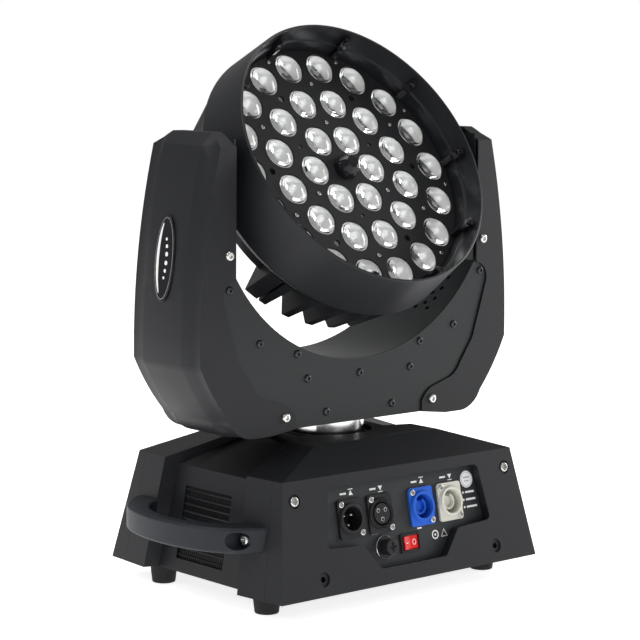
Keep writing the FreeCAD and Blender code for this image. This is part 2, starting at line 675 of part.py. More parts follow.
def make_arm_cover():
    """Plastic cover of the +X arm: thin shell, open towards the yoke."""
    steps = ((-ARM_Y, 0.0), (-BAND_LOW, 0.0), (-BAND_TOP, BAND_RAISE),
             (BAND_TOP, BAND_RAISE), (BAND_LOW, 0.0), (ARM_Y, 0.0))
    cover = lofted([arm_outline(y, e) for y, e in steps])
    wall = 2.2
    inner_y = PLATE_Y + 0.05
    inner_steps = ((-inner_y, 0.0), (-BAND_LOW + 1, 0.0), (-BAND_TOP + 1, BAND_RAISE),
                   (BAND_TOP - 1, BAND_RAISE), (BAND_LOW - 1, 0.0), (inner_y, 0.0))
    cavity = lofted([arm_outline(y, e, wall, True) for y, e in inner_steps])
    cover = cover.cut(cavity)
    for sy in (-1, 1):
        slope = prism([(100, sy * ARM_Y * 1.3, 353.0), (100, sy * 24.0, ARM_TOP_Z),
                       (100, sy * 24.0, ARM_TOP_Z + 9), (100, sy * ARM_Y * 1.3, ARM_TOP_Z + 9)],
                      (80, 0, 0))
        under = slope.copy()
        under.translate(Vector(0, 0, -wall))
        rib = under.common(lofted([arm_outline(-ARM_Y, 0.0), arm_outline(ARM_Y, 0.0)]))
        cover = cover.fuse(rib.common(box(100, 200, -ARM_Y, ARM_Y, 340, 380))).cut(slope)
    for x, z in COVER_SCREWS:
        cover = cover.cut(rod(2.2, (x, -60, z), (0, 1, 0), 120))
    return cover


PLATE_SCREWS = ((0.0, 174.9), (35.7, 146.3), (55.9, 174.9), (66.7, 195.4), (105.4, 206.4),
                (136.0, 250.2))
COVER_SCREWS = ((137.3, 277.1), (79.9, 146.0))


def yoke_plate(y0):
    """U-shaped steel plate of the yoke, from y0 to y0 + PLATE_T."""
    side = [(ARM_X, 352), (141.5, 352), (158.5, 230), (160.0, 197), (132.5, 153),
            (118.0, 138.5), (108.0, YOKE_LOW_Z)]
    points = [(x, y0, z) for x, z in side]
    points += [(-x, y0, z) for x, z in reversed(side)]
    blank = prism(points, (0, PLATE_T, 0))
    blank = blank.cut(rod(YOKE_R, (0, y0 - 5, YOKE_CENTRE_Z), (0, 1, 0), 12))
    start_z = YOKE_CENTRE_Z - math.sqrt(YOKE_R ** 2 - ARM_X ** 2)
    blank = blank.cut(box(-ARM_X, ARM_X, y0 - 5, y0 + 5, start_z, 400))
    for x, z in PLATE_SCREWS + COVER_SCREWS:
        for sx in (-1, 1):
            blank = blank.cut(rod(2.2, (sx * x, y0 - 5, z), (0, 1, 0), 12))
    return blank


def skin_section(radius, half_x, y0, y1, top_z):
    """Solid under the U: everything within the bent sheet's given radius."""
    start_z = YOKE_CENTRE_Z - math.sqrt(radius ** 2 - half_x ** 2)
    disc = rod(radius, (0, y0, YOKE_CENTRE_Z), (0, 1, 0), y1 - y0)
    low = disc.common(box(-200, 200, y0, y1, 0, start_z))
    return low.fuse(box(-half_x, half_x, y0, y1, start_z, top_z))


VENT_COLUMNS = 9


def make_inner_skin():
    """Bent sheet of the U, with its shaft holes and vent holes."""
    skin_y = PLATE_Y - PLATE_T
    outer = skin_section(YOKE_R + 1.2, ARM_X + 1.2, -skin_y, skin_y, 366.0)
    sheet = outer.cut(skin_section(YOKE_R, ARM_X, -60, 60, 400.0))
    sheet = sheet.cut(rod(14.0, (-200, 0, TILT_AXIS_Z), (1, 0, 0), 400))
    for side in (-1, 1):
        for k in range(VENT_COLUMNS):
            down = math.radians(34.0 + 2.2 * k)
            row_y = (-14.0, 0.0, 14.0) if k % 2 else (-21.0, -7.0, 7.0, 21.0)
            for y in row_y:
                direction = (side * math.cos(down), 0, -math.sin(down))
                sheet = sheet.cut(rod(2.0, (0, y, YOKE_CENTRE_Z), direction, 170))
    return sheet


def make_badge():
    """Oval badge on the side band of the +X arm."""
    z = 273.5
    x = arm_edge_x(z, BAND_RAISE)
    lean = math.atan2(z - ARM_EDGE_Z, ARM_EDGE_R)
    shape = Part.Ellipse(Vector(0, 0, 0), 33.5, 12.3).toShape()
    disc = Part.Face(Part.Wire([shape])).extrude(Vector(0, 0, 1.6))
    disc = rounded(disc, 0.6, [e for e in disc.Edges if e.BoundBox.ZMin > 1.5])
    tilt = frame_of((x - 0.45, 1.5, z), (-math.sin(lean), 0, math.cos(lean)), (0, -1, 0),
                    (math.cos(lean), 0, math.sin(lean)))
    return placed(disc, tilt)


def make_yoke():
    save(yoke_plate(-PLATE_Y), "yoke_front_plate")
    save(yoke_plate(PLATE_Y - PLATE_T), "yoke_rear_plate")
    save(make_inner_skin(), "yoke_inner_skin")
    arm = make_arm_cover()
    badge = make_badge()
    arm = arm.cut(badge)
    save(arm, "right_arm_cover")
    save(mirror_x(arm), "left_arm_cover")
    save(group([badge, mirror_x(badge)]), "arm_badges")

    screws = []
    plate_screw = screw(3.3, 1.5, 2.1, 5.0)
    cover_screw = screw(4.0, 2.2, 2.1, 6.0)
    for sy in (-1, 1):
        for sx in (-1, 1):
            for x, z in PLATE_SCREWS:
                if x > 0 or sx > 0:
                    screws.append(towards(plate_screw, (sx * x, sy * PLATE_Y, z), (0, sy, 0)))
            for x, z in COVER_SCREWS:
                screws.append(towards(cover_screw, (sx * x, sy * ARM_Y, z), (0, sy, 0)))
    save(group(screws), "yoke_screws")

    floor_y = PLATE_Y - PLATE_T
    floor = box(-108, 108, -floor_y, floor_y, YOKE_LOW_Z, YOKE_LOW_Z + 3)
    floor = floor.cut(rod(28.0, (0, 0, 130), (0, 0, 1), 20))
    save(floor, "yoke_floor")

    spindle = rod(SPINDLE_R, (0, 0, 88), (0, 0, 1), YOKE_LOW_Z - 88)
    spindle = spindle.fuse(rod(27.9, (0, 0, YOKE_LOW_Z), (0, 0, 1), 3.0))
    spindle = spindle.fuse(rod(38.0, (0, 0, YOKE_LOW_Z + 3), (0, 0, 1), 3.0))
    save(spindle.cut(rod(SPINDLE_BORE_R, (0, 0, 80), (0, 0, 1), 80)), "pan_spindle")
    wheel = pulley(PAN_PULLEY_R, 9.0, SPINDLE_R)
    save(placed(wheel, Placement(Vector(0, 0, 89.5), FreeCAD.Rotation())), "pan_pulley")

    save(towards(motor(44.0), (-TILT_MOTOR_X, 0, TILT_MOTOR_Z), (-1, 0, 0)), "tilt_motor")
    small = pulley(MOTOR_PULLEY_R, TILT_PULLEY_W, 3.175 + BALL_FIT)
    save(towards(small, (-TILT_PULLEY_X, 0, TILT_MOTOR_Z), (-1, 0, 0)), "tilt_motor_pulley")
    belt_w = TILT_PULLEY_W - 1.0
    loop = belt(TILT_PULLEY_R, MOTOR_PULLEY_R, TILT_AXIS_Z - TILT_MOTOR_Z, FREE, 1.6, belt_w)
    down = frame_of((-TILT_PULLEY_X - 0.5 - belt_w, 0, TILT_AXIS_Z), (0, 0, -1), (0, 1, 0),
                    (1, 0, 0))
    save(placed(loop, down), "tilt_belt")
    bearings = []
    for sx in (-1, 1):
        start = (sx * (ARM_X + 1.2), 0, TILT_AXIS_Z)
        bearings.append(tube(21.0, SHAFT_R + BALL_FIT, start, (sx, 0, 0), 5.8))
    save(group(bearings), "tilt_bearings")


# ---------------------------------------------------------------- head, drawn along +z
TILT = math.radians(TILT_DEG)
HEAD = frame_of((0, 0, TILT_AXIS_Z), (1, 0, 0), (0, math.sin(TILT), math.cos(TILT)),
                (0, -math.cos(TILT), math.sin(TILT)))


def save_head(shape, node):
    save(placed(shape, HEAD), node)


def turned_profile(points):
    """Solid of revolution about z of an (r, z) outline."""
    face = Part.Face(polygon([(r, 0, z) for r, z in points]))
    return face.revolve(Vector(0, 0, 0), Vector(0, 0, 1), 360)


LEDGE = 35.0               # depth of the step on the hood's inner wall
LIP_R = 104.6              # inner radius of the hood's rear lip
HUB_R = 20.0


def make_hood():
    """Round hood: tapering outside, stepped inside, closed behind, with two hubs."""
    ring = turned_profile([(HOOD_R_FRONT - 2.0, HOOD_FRONT - 0.2),
                           (HOOD_R_FRONT - 1.0, HOOD_FRONT), (HOOD_R_FRONT, HOOD_FRONT - 0.8),
                           (HOOD_R_REAR, 5.0), (HOOD_R_REAR - 1.8, 1.0), (LIP_R, 1.0),
                           (LIP_R, 3.0), (113.0, 3.0), (113.0, LEDGE), (114.8, LEDGE + 0.6)])
    for sx in (-1, 1):
        ring = ring.fuse(rod(HUB_R, (sx * 100.0, 0, 0), (sx, 0, 0), 26.0))
        ring = ring.cut(rod(SHAFT_R, (sx * 113.5, 0, 0), (sx, 0, 0), 60.0))
    inside = turned_profile([(0, 1.0), (LIP_R, 1.0), (LIP_R, 3.0), (113.0, 3.0), (113.0, LEDGE),
                             (0, LEDGE)])
    return ring.cut(inside)


def make_rear_cover_head():
    """Rear cover: flange, round drum and two fans of radial fins, each between two blocks."""
    casing = turned_profile([(0, 0.9), (112.0, 0.9), (112.0, -1.6), (REAR_R, -1.6),
                             (REAR_R, -14.0), (DRUM_R, -14.0), (DRUM_R, -37.0),
                             (DRUM_R - 10, -DRUM_BACK), (50, -DRUM_BACK), (48, -52.0),
                             (0, -52.0)])
    hub_notch = box(99.8, 130.0, -HUB_R - 0.4, HUB_R + 0.4, -16.0, 4.0)
    casing = casing.cut(hub_notch).cut(mirror_x(hub_notch))
    envelope = turned_profile([(0, -1.0), (FIN_R_FRONT, -1.0), (FIN_R_BACK, 1.5 - FIN_BACK),
                               (FIN_R_BACK - 1.5, -FIN_BACK), (60, -FIN_BACK - 6),
                               (0, -FIN_BACK - 6)])
    fins = []
    for middle in (90, 270):
        for k in range(-4, 4):
            fins.append((middle + (k + 0.5) * FIN_STEP, 4.0, 2.8))
        for side in (-48, 48):
            fins.append((middle + side, 6.6, 5.8))
    for degrees, root, tip in fins:
        slab = prism([(54, -root, -1.0), (54, root, -1.0), (54, tip, -60.0), (54, -tip, -60.0)],
                     (80, 0, 0))
        casing = casing.fuse(turned_z(slab, degrees).common(envelope))
    casing = casing.cut(turned_profile([(0, 2.0), (REAR_R - 2.6, 2.0), (REAR_R - 2.6, -12.2),
                                        (DRUM_R - 2.6, -12.2), (DRUM_R - 2.6, -36.0),
                                        (DRUM_R - 11, 2.5 - DRUM_BACK), (0, 2.5 - DRUM_BACK)]))
    return casing


def lens_places():
    places = []
    for count, radius, phase in LENS_RINGS:
        for k in range(count):
            places.append(polar(radius, phase + 360.0 * k / count))
    return places


ZOOM_ANGLES = (60.0, 180.0, 300.0)
PLATE_BACK = LENS_PLANE - 2.0


def make_lens_plate():
    plate = Part.makeCylinder(111.5, 2.0, Vector(0, 0, PLATE_BACK))
    cutters = []
    for x, y in lens_places():
        cutters.append(Part.makeCylinder(HOLE_R, 10, Vector(x, y, PLATE_BACK - 4)))
    for k in range(6):
        x, y = polar(ZOOM_CIRCLE_R, 60.0 * k)
        cutters.append(Part.makeCylinder(2.9, 10, Vector(x, y, PLATE_BACK - 4)))
    for degrees in (30, 150, 270):
        x, y = polar(43.0, degrees)
        cutters.append(Part.makeCylinder(1.8, 10, Vector(x, y, PLATE_BACK - 4)))
    plate = plate.cut(Part.makeCompound(cutters))
    for degrees in ZOOM_ANGLES:
        x, y = polar(ZOOM_CIRCLE_R, degrees)
        plate = plate.fuse(tube(5.0, ZOOM_SCREW_R + 0.08, (x, y, PLATE_BACK - 9), (0, 0, 1), 9.0))
    return plate


def make_lens():
    """One collimating lens: flange behind the plate, stem through it, domed front."""
    dome = [arc3((0, 0, 28.2), (6.6, 0, 27.0), (LENS_R - 0.6, 0, 23.6)),
            Part.makeLine(Vector(LENS_R - 0.6, 0, 23.6), Vector(LENS_R, 0, 22.6)),
            Part.makeLine(Vector(LENS_R, 0, 22.6), Vector(LENS_R, 0, PLATE_BACK)),
            Part.makeLine(Vector(LENS_R, 0, PLATE_BACK), Vector(14.5, 0, PLATE_BACK)),
            Part.makeLine(Vector(14.5, 0, PLATE_BACK), Vector(14.5, 0, PLATE_BACK - 2)),
            Part.makeLine(Vector(14.5, 0, PLATE_BACK - 2), Vector(11.5, 0, PLATE_BACK - 2)),
            Part.makeLine(Vector(11.5, 0, PLATE_BACK - 2), Vector(5.0, 0, 13.6)),
            Part.makeLine(Vector(5.0, 0, 13.6), Vector(0, 0, 13.6)),
            Part.makeLine(Vector(0, 0, 13.6), Vector(0, 0, 28.2))]
    return Part.Face(Part.Wire(dome)).revolve(Vector(0, 0, 0), Vector(0, 0, 1), 360)


CLIP_COUNT = 10
PLATE_SCREW_RINGS = ((3, 43.0, 90.0), (6, 79.5, 30.0), (9, 106.5, 30.0))


def make_head():
    save_head(make_hood(), "head_hood")
    save_head(make_rear_cover_head(), "head_rear_cover")
    save_head(make_lens_plate(), "lens_plate")

    lens = make_lens()
    lenses = []
    for x, y in lens_places():
        copy = lens.copy()
        copy.translate(Vector(x, y, 0))
        lenses.append(copy)
    save_head(group(lenses), "lenses")

    cap = loft([[polar(11.0, 22.5 + 45 * k) + (LENS_PLANE,) for k in range(8)],
                [polar(10.2, 22.5 + 45 * k) + (LENS_PLANE + 8,) for k in range(8)]])
    cap = cap.fuse(loft([[polar(10.2, 22.5 + 45 * k) + (LENS_PLANE + 8,) for k in range(8)],
                         [polar(5.6, 22.5 + 45 * k) + (LENS_PLANE + 12.5,) for k in range(8)]]))
    save_head(cap, "centre_cap")

    clips = []
    clip_screws = []
    for k in range(CLIP_COUNT):
        post = box(108.6, 112.6, -2.6, 2.6, LENS_PLANE + 0.8, LEDGE + 1.5)
        pad = box(110.6, 114.2, -3.6, 3.6, LEDGE + 0.9, 49.0)
        pad = rounded(pad, 2.4, [e for e in pad.Edges
                                 if e.BoundBox.XLength > 3 and e.BoundBox.ZMin > 48])
        clips.append(turned_z(post.fuse(pad), 36.0 * k))
        head = towards(screw(2.6, 1.7, 1.2, 3.2), (110.6, 0, 45.0), (-1, 0, 0))
        clip_screws.append(turned_z(head, 36.0 * k))
    hole_tools = [turned_z(rod(1.2, (108, 0, 45.0), (1, 0, 0), 7), 36.0 * k)
                  for k in range(CLIP_COUNT)]
    clips = [c.cut(Part.makeCompound(hole_tools)) for c in clips]
    save_head(group(clips), "hood_clips")
    save_head(group(clip_screws), "clip_screws")

    screws = []
    for count, radius, phase in PLATE_SCREW_RINGS:
        for k in range(count):
            x, y = polar(radius, phase + 360.0 * k / count)
            screws.append(towards(screw_head(1.7, 0.9, 1.0), (x, y, LENS_PLANE), (0, 0, 1)))
    save_head(group(screws), "lens_plate_screws")

    board = Part.makeCylinder(98.0, 1.8, Vector(0, 0, -11.8))
    holes = []
    for degrees in ZOOM_ANGLES:
        x, y = polar(ZOOM_CIRCLE_R, degrees)
        holes.append(Part.makeCylinder(4.0, 20, Vector(x, y, -20)))
    board = board.cut(Part.makeCompound(holes))
    for x, y in lens_places():
        led = box(x - 2.6, x + 2.6, y - 2.6, y + 2.6, -10.0, -8.6)
        board = board.fuse(led)
    save_head(board, "led_board")

    sink = Part.makeCylinder(86.0, 5.0, Vector(0, 0, -16.8))
    for k in range(-8, 9):
        half = math.sqrt(84.0 ** 2 - (10.0 * k) ** 2)
        sink = sink.fuse(box(10.0 * k - 0.9, 10.0 * k + 0.9, -half, half, -37.0, -16.0))
    for degrees in ZOOM_ANGLES:
        x, y = polar(ZOOM_CIRCLE_R, degrees)
        sink = sink.cut(Part.makeCylinder(11.5, 30, Vector(x, y, -46.8)))
        sink = sink.cut(Part.makeCylinder(4.0, 40, Vector(x, y, -40)))
    save_head(sink, "heat_sink")

    motors = []
    for number, degrees in enumerate(ZOOM_ANGLES, 1):
        x, y = polar(ZOOM_CIRCLE_R, degrees)
        can = Part.makeCylinder(10.0, 17.0, Vector(x, y, -33.8))
        can = can.cut(Part.makeCylinder(ZOOM_SCREW_R + BALL_FIT, 20, Vector(x, y, -30.8)))
        motors.append(can)
        stem = Part.makeCylinder(ZOOM_SCREW_R, 50.2, Vector(x, y, -30.2))
        save_head(stem, "zoom_screw_" + str(number))
    save_head(group(motors), "zoom_motors")

    shafts = []
    for sx, end in ((-1, 146.0), (1, 138.5)):
        shafts.append(tube(SHAFT_R, 8.0, (sx * 113.5, 0, 0), (sx, 0, 0), end - 113.5))
    save_head(group(shafts), "tilt_shafts")
    wheel = pulley(TILT_PULLEY_R, TILT_PULLEY_W, SHAFT_R + BALL_FIT)
    save_head(towards(wheel, (-TILT_PULLEY_X, 0, 0), (-1, 0, 0)), "tilt_pulley")


make_base()
make_panel()
make_display()
make_base_inside()
make_yoke()
make_head()
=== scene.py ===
import json
import math

import bmesh
import bpy
import numpy as np
from bpy.props import FloatProperty, FloatVectorProperty, IntProperty, PointerProperty
from mathutils import Matrix, Vector


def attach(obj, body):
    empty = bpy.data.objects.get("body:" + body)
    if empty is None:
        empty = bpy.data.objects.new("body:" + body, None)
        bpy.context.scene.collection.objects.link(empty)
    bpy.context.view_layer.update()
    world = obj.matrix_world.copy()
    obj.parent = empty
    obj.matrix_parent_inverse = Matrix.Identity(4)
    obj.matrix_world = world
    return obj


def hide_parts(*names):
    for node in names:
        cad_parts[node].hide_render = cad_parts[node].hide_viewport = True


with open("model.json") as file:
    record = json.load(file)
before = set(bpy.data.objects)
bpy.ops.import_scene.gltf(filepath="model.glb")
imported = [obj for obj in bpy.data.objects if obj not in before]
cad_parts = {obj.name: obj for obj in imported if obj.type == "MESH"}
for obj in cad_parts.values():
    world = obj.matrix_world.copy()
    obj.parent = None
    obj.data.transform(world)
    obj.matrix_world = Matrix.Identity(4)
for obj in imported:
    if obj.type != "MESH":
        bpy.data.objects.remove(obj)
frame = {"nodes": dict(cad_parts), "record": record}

bl_info = {
    "name": "Moving Head Wash Light",
    "version": (1, 0, 0),
    "blender": (4, 5, 0),
    "location": "View3D > Sidebar > Wash Light",
    "description": "Lenses, casings, panel fittings and finishes of a moving head wash light",
    "category": "Object",
}

# ------------------------------------------------------------------ sizes shared with the frame
MM = 0.001
TILT_AXIS = np.array([0.0, 0.0, 326.5])
TILT = math.radians(32.0)      # beam above the horizontal in the drawn pose
HEAD_U = np.array([1.0, 0.0, 0.0])
HEAD_V = np.array([0.0, math.sin(TILT), math.cos(TILT)])
HEAD_N = np.array([0.0, -math.cos(TILT), math.sin(TILT)])
LENS_RINGS = ((6, 30.3, 0.0), (12, 62.8, 15.0), (18, 95.8, 0.0))  # count, radius, phase
LENS_R = 12.3                  # lens radius, with its edge
LENS_BACK = 20.9               # back of the lens ahead of the tilt axis
BASE_HY = 109.0                # half width of the base at its bottom edge
FOOT_H = 16.5                  # underside of the base above the floor
WALL_RISE = 90.0               # height of the leaning long walls
WALL_LEAN = 18.0               # how far they lean in over that height
WALL_LEN = math.hypot(WALL_RISE, WALL_LEAN)
WALL_COS = WALL_RISE / WALL_LEN
WALL_SIN = WALL_LEAN / WALL_LEN
BAND_LEAN = -1.0 / 6.0         # change of x over height of the sunk side bands
GRILLE_Y = (-24.0, 35.0)
GRILLE_Z = (27.0, 85.0)
PANEL_FACE = -8.0              # front of the connector panel, measured out of the wall
CONNECTOR_V = 55.6             # height of the connectors up the wall
CONNECTORS = (("xlr_inlet", -54.0, "black"), ("xlr_outlet", -22.5, "black"),
              ("power_inlet", 22.5, "blue"), ("power_outlet", 54.5, "grey"))
LOW_V = 28.6                   # height of the fuse and the rocker up the wall
FUSE_U = -22.0
ROCKER_U = 6.0
ROCKER_REST = math.radians(9.0)
ARM_EDGE_X = 165.5             # outer face of an arm where it is widest
ARM_EDGE_Z = 200.0             # height of that widest place
ARM_EDGE_R = 666.0             # radius of the outer face above it
BAND_RAISE = 4.0               # height of the raised side band
BADGE_Y = 1.5
BADGE_Z = 273.5
PLATE_SCREWS = ((0.0, 174.9), (35.7, 146.3), (55.9, 174.9), (66.7, 195.4), (105.4, 206.4),
                (136.0, 250.2))
COVER_SCREWS = ((137.3, 277.1), (79.9, 146.0))
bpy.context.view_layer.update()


# ------------------------------------------------------------------ shader maths
class Wire:
    """A node socket that Python arithmetic works on; each operation adds one Math node."""

    def __init__(self, paint, socket):
        self.paint = paint
        self.socket = socket

    def _math(self, operation, first, second):
        values = {0: first, 1: second}
        return self.paint.node("ShaderNodeMath", {"operation": operation}, values)

    def __add__(self, other):
        return self._math("ADD", self, other)

    def __radd__(self, other):
        return self._math("ADD", other, self)

    def __sub__(self, other):
        return self._math("SUBTRACT", self, other)

    def __rsub__(self, other):
        return self._math("SUBTRACT", other, self)

    def __mul__(self, other):
        return self._math("MULTIPLY", self, other)

    def __rmul__(self, other):
        return self._math("MULTIPLY", other, self)

    def clamp(self):
        """The value kept between 0 and 1."""
        return self._math("MINIMUM", self._math("MAXIMUM", self, 0.0), 1.0)


class Paint:
    """One material: a Principled shader and the nodes that feed it."""

    def __init__(self, name, colour, rough, metal=0.0, **fixed):
        self.material = bpy.data.materials.new(name)
        self.material.use_nodes = True
        self.tree = self.material.node_tree
        self.tree.nodes.clear()
        out = self.tree.nodes.new("ShaderNodeOutputMaterial")
        self.shader = self.tree.nodes.new("ShaderNodeBsdfPrincipled")
        self.tree.links.new(self.shader.outputs[0], out.inputs["Surface"])
        self.material.diffuse_color = (*colour, 1.0)
        self.feed("Base Color", (*colour, 1.0))
        self.feed("Roughness", rough)
        self.feed("Metallic", metal)
        for socket, value in fixed.items():
            self.feed(socket.replace("_", " ").title().replace("Ior", "IOR"), value)

    def feed(self, socket, value):
        """Put a value or a wire on one socket of the shader."""
        self._join(self.shader.inputs[socket], value)

    def _join(self, socket, value):
        if isinstance(value, Wire):
            self.tree.links.new(value.socket, socket)
        else:
            socket.default_value = value

    def node(self, kind, settings=None, values=None, out=0):
        """Add a node: its settings first, then the values or wires of its sockets."""
        made = self.tree.nodes.new(kind)
        for name, setting in (settings or {}).items():
            setattr(made, name, setting)
        for name, value in (values or {}).items():
            self._join(made.inputs[name], value)
        return Wire(self, made.outputs[out])

    def place(self, scale):
        """Object coordinates in metres, each axis multiplied by scale."""
        spot = self.node("ShaderNodeTexCoord", out="Object")
        return self.node("ShaderNodeVectorMath", {"operation": "MULTIPLY"}, {0: spot, 1: scale})

    def noise(self, size_mm, detail, rough=0.55, stretch=(1.0, 1.0, 1.0)):
        """Noise from 0 to 1 whose blobs are about size_mm across."""
        scale = tuple(1000.0 / size_mm * s for s in stretch)
        return self.node("ShaderNodeTexNoise", {},
                         {"Vector": self.place(scale), "Scale": 1.0, "Detail": detail,
                          "Roughness": rough})

    def mix(self, factor, first, second):
        """Colour that goes from first to second."""
        return self.node("ShaderNodeMix", {"data_type": "RGBA"},
                         {"Factor": factor, 6: first, 7: second}, out=2)

    def bump(self, height, depth_mm, strength):
        """Surface relief: height from 0 to 1, depth_mm from bottom to top."""
        return self.node("ShaderNodeBump", {},
                         {"Height": height, "Distance": depth_mm * MM, "Strength": strength})


def shade(colour, factor):
    """A colour made lighter or darker, with alpha 1."""
    return (colour[0] * factor, colour[1] * factor, colour[2] * factor, 1.0)


def moulded_plastic(name, colour, rough, grain_mm=0.55, grain_depth=0.05, cloud=0.14):
    """Moulded plastic: spark-eroded grain, faint clouding of colour and sheen, a little dust."""
    paint = Paint(name, colour, rough, specular_ior_level=0.30)
    clouds = paint.noise(38.0, 4.0)
    flecks = paint.noise(1.6, 2.0)
    tone = (clouds - 0.5) * (2.0 * cloud) + (flecks - 0.5) * 0.10 + 0.5
    paint.feed("Base Color", paint.mix(tone.clamp(), shade(colour, 0.78), shade(colour, 1.26)))
    paint.feed("Roughness", (clouds - 0.5) * 0.16 + (flecks - 0.5) * 0.06 + rough)
    grain = paint.noise(grain_mm, 2.0, 0.6)
    paint.feed("Normal", paint.bump(grain, grain_depth, 0.55))
    return paint.material


def powder_steel(name, colour, rough, metal=0.25):
    """Powder-coated sheet steel: orange-peel relief, satin, slightly uneven sheen."""
    paint = Paint(name, colour, rough, metal, specular_ior_level=0.3)
    clouds = paint.noise(60.0, 3.0)
    peel = paint.noise(2.2, 2.0, 0.45)
    speck = paint.noise(0.7, 1.0)
    tone = (clouds - 0.5) * 0.30 + (speck - 0.5) * 0.16 + 0.5
    paint.feed("Base Color", paint.mix(tone.clamp(), shade(colour, 0.82), shade(colour, 1.20)))
    paint.feed("Roughness", (clouds - 0.5) * 0.14 + (peel - 0.5) * 0.05 + rough)
    paint.feed("Normal", paint.bump(peel, 0.035, 0.6))
    return paint.material


def bright_metal(name, colour, rough, streak=(1.0, 1.0, 30.0), size_mm=9.0):
    """Plated or turned metal: fine streaks along the cut, slight tarnish."""
    paint = Paint(name, colour, rough, 1.0)
    streaks = paint.noise(size_mm, 3.0, 0.6, streak)
    tarnish = paint.noise(14.0, 3.0)
    tone = ((tarnish - 0.45) * 0.9 + (streaks - 0.5) * 0.35 + 0.35).clamp()
    paint.feed("Base Color", paint.mix(tone, shade(colour, 1.0), shade(colour, 0.78)))
    paint.feed("Roughness", (tarnish - 0.5) * 0.14 + (streaks - 0.5) * 0.12 + rough)
    paint.feed("Normal", paint.bump(streaks, 0.012, 0.5))
    return paint.material


def soft_rubber(name, colour):
    """Rubber: matt, with bloom and fine pores."""
    rough = 0.78
    paint = Paint(name, colour, rough, specular_ior_level=0.3)
    bloom = paint.noise(7.0, 4.0)
    pores = paint.noise(0.4, 2.0)
    paint.feed("Base Color", paint.mix(bloom, shade(colour, 0.75), shade(colour, 1.6)))
    paint.feed("Roughness", (bloom - 0.5) * 0.15 + rough)
    paint.feed("Normal", paint.bump(pores, 0.03, 0.5))
    return paint.material


def clear_lens(name):
    """Moulded clear acrylic."""
    paint = Paint(name, (0.97, 0.98, 0.985), 0.025, transmission_weight=1.0, ior=1.49)
    ripple = paint.noise(5.0, 1.0)
    paint.feed("Normal", paint.bump(ripple, 0.010, 0.25))
    return paint.material


def frosted_core(name, colour):
    """Milky collimator under the lens: silvery, with faint facets and a faint painted glow of
    its own, though the lamp is off.
    """
    rough = 0.30
    # emission_strength and the warm Emission Color below are a painted glow: the core gives off
    # light though it is no lit lamp
    paint = Paint(name, colour, rough, 0.30, specular_ior_level=0.6, coat_weight=0.5,
                  coat_roughness=0.06, emission_strength=0.22)
    facets = paint.noise(3.2, 2.0)
    paint.feed("Base Color", paint.mix(facets, shade(colour, 0.86), shade(colour, 1.06)))
    paint.feed("Emission Color", (1.0, 0.985, 0.94, 1.0))
    paint.feed("Roughness", (facets - 0.5) * 0.12 + rough)
    paint.feed("Normal", paint.bump(facets, 0.05, 0.4))
    return paint.material


def glowing(name, colour, strength):
    """Lit display segments: plain colour that gives off its own light, a little uneven."""
    paint = Paint(name, colour, 0.4, emission_strength=strength)
    spread = paint.noise(9.0, 1.0)
    paint.feed("Emission Color", paint.mix(spread, shade(colour, 0.8), shade(colour, 1.1)))
    return paint.material


FINISHES = {}                  # materials made so far, by finish


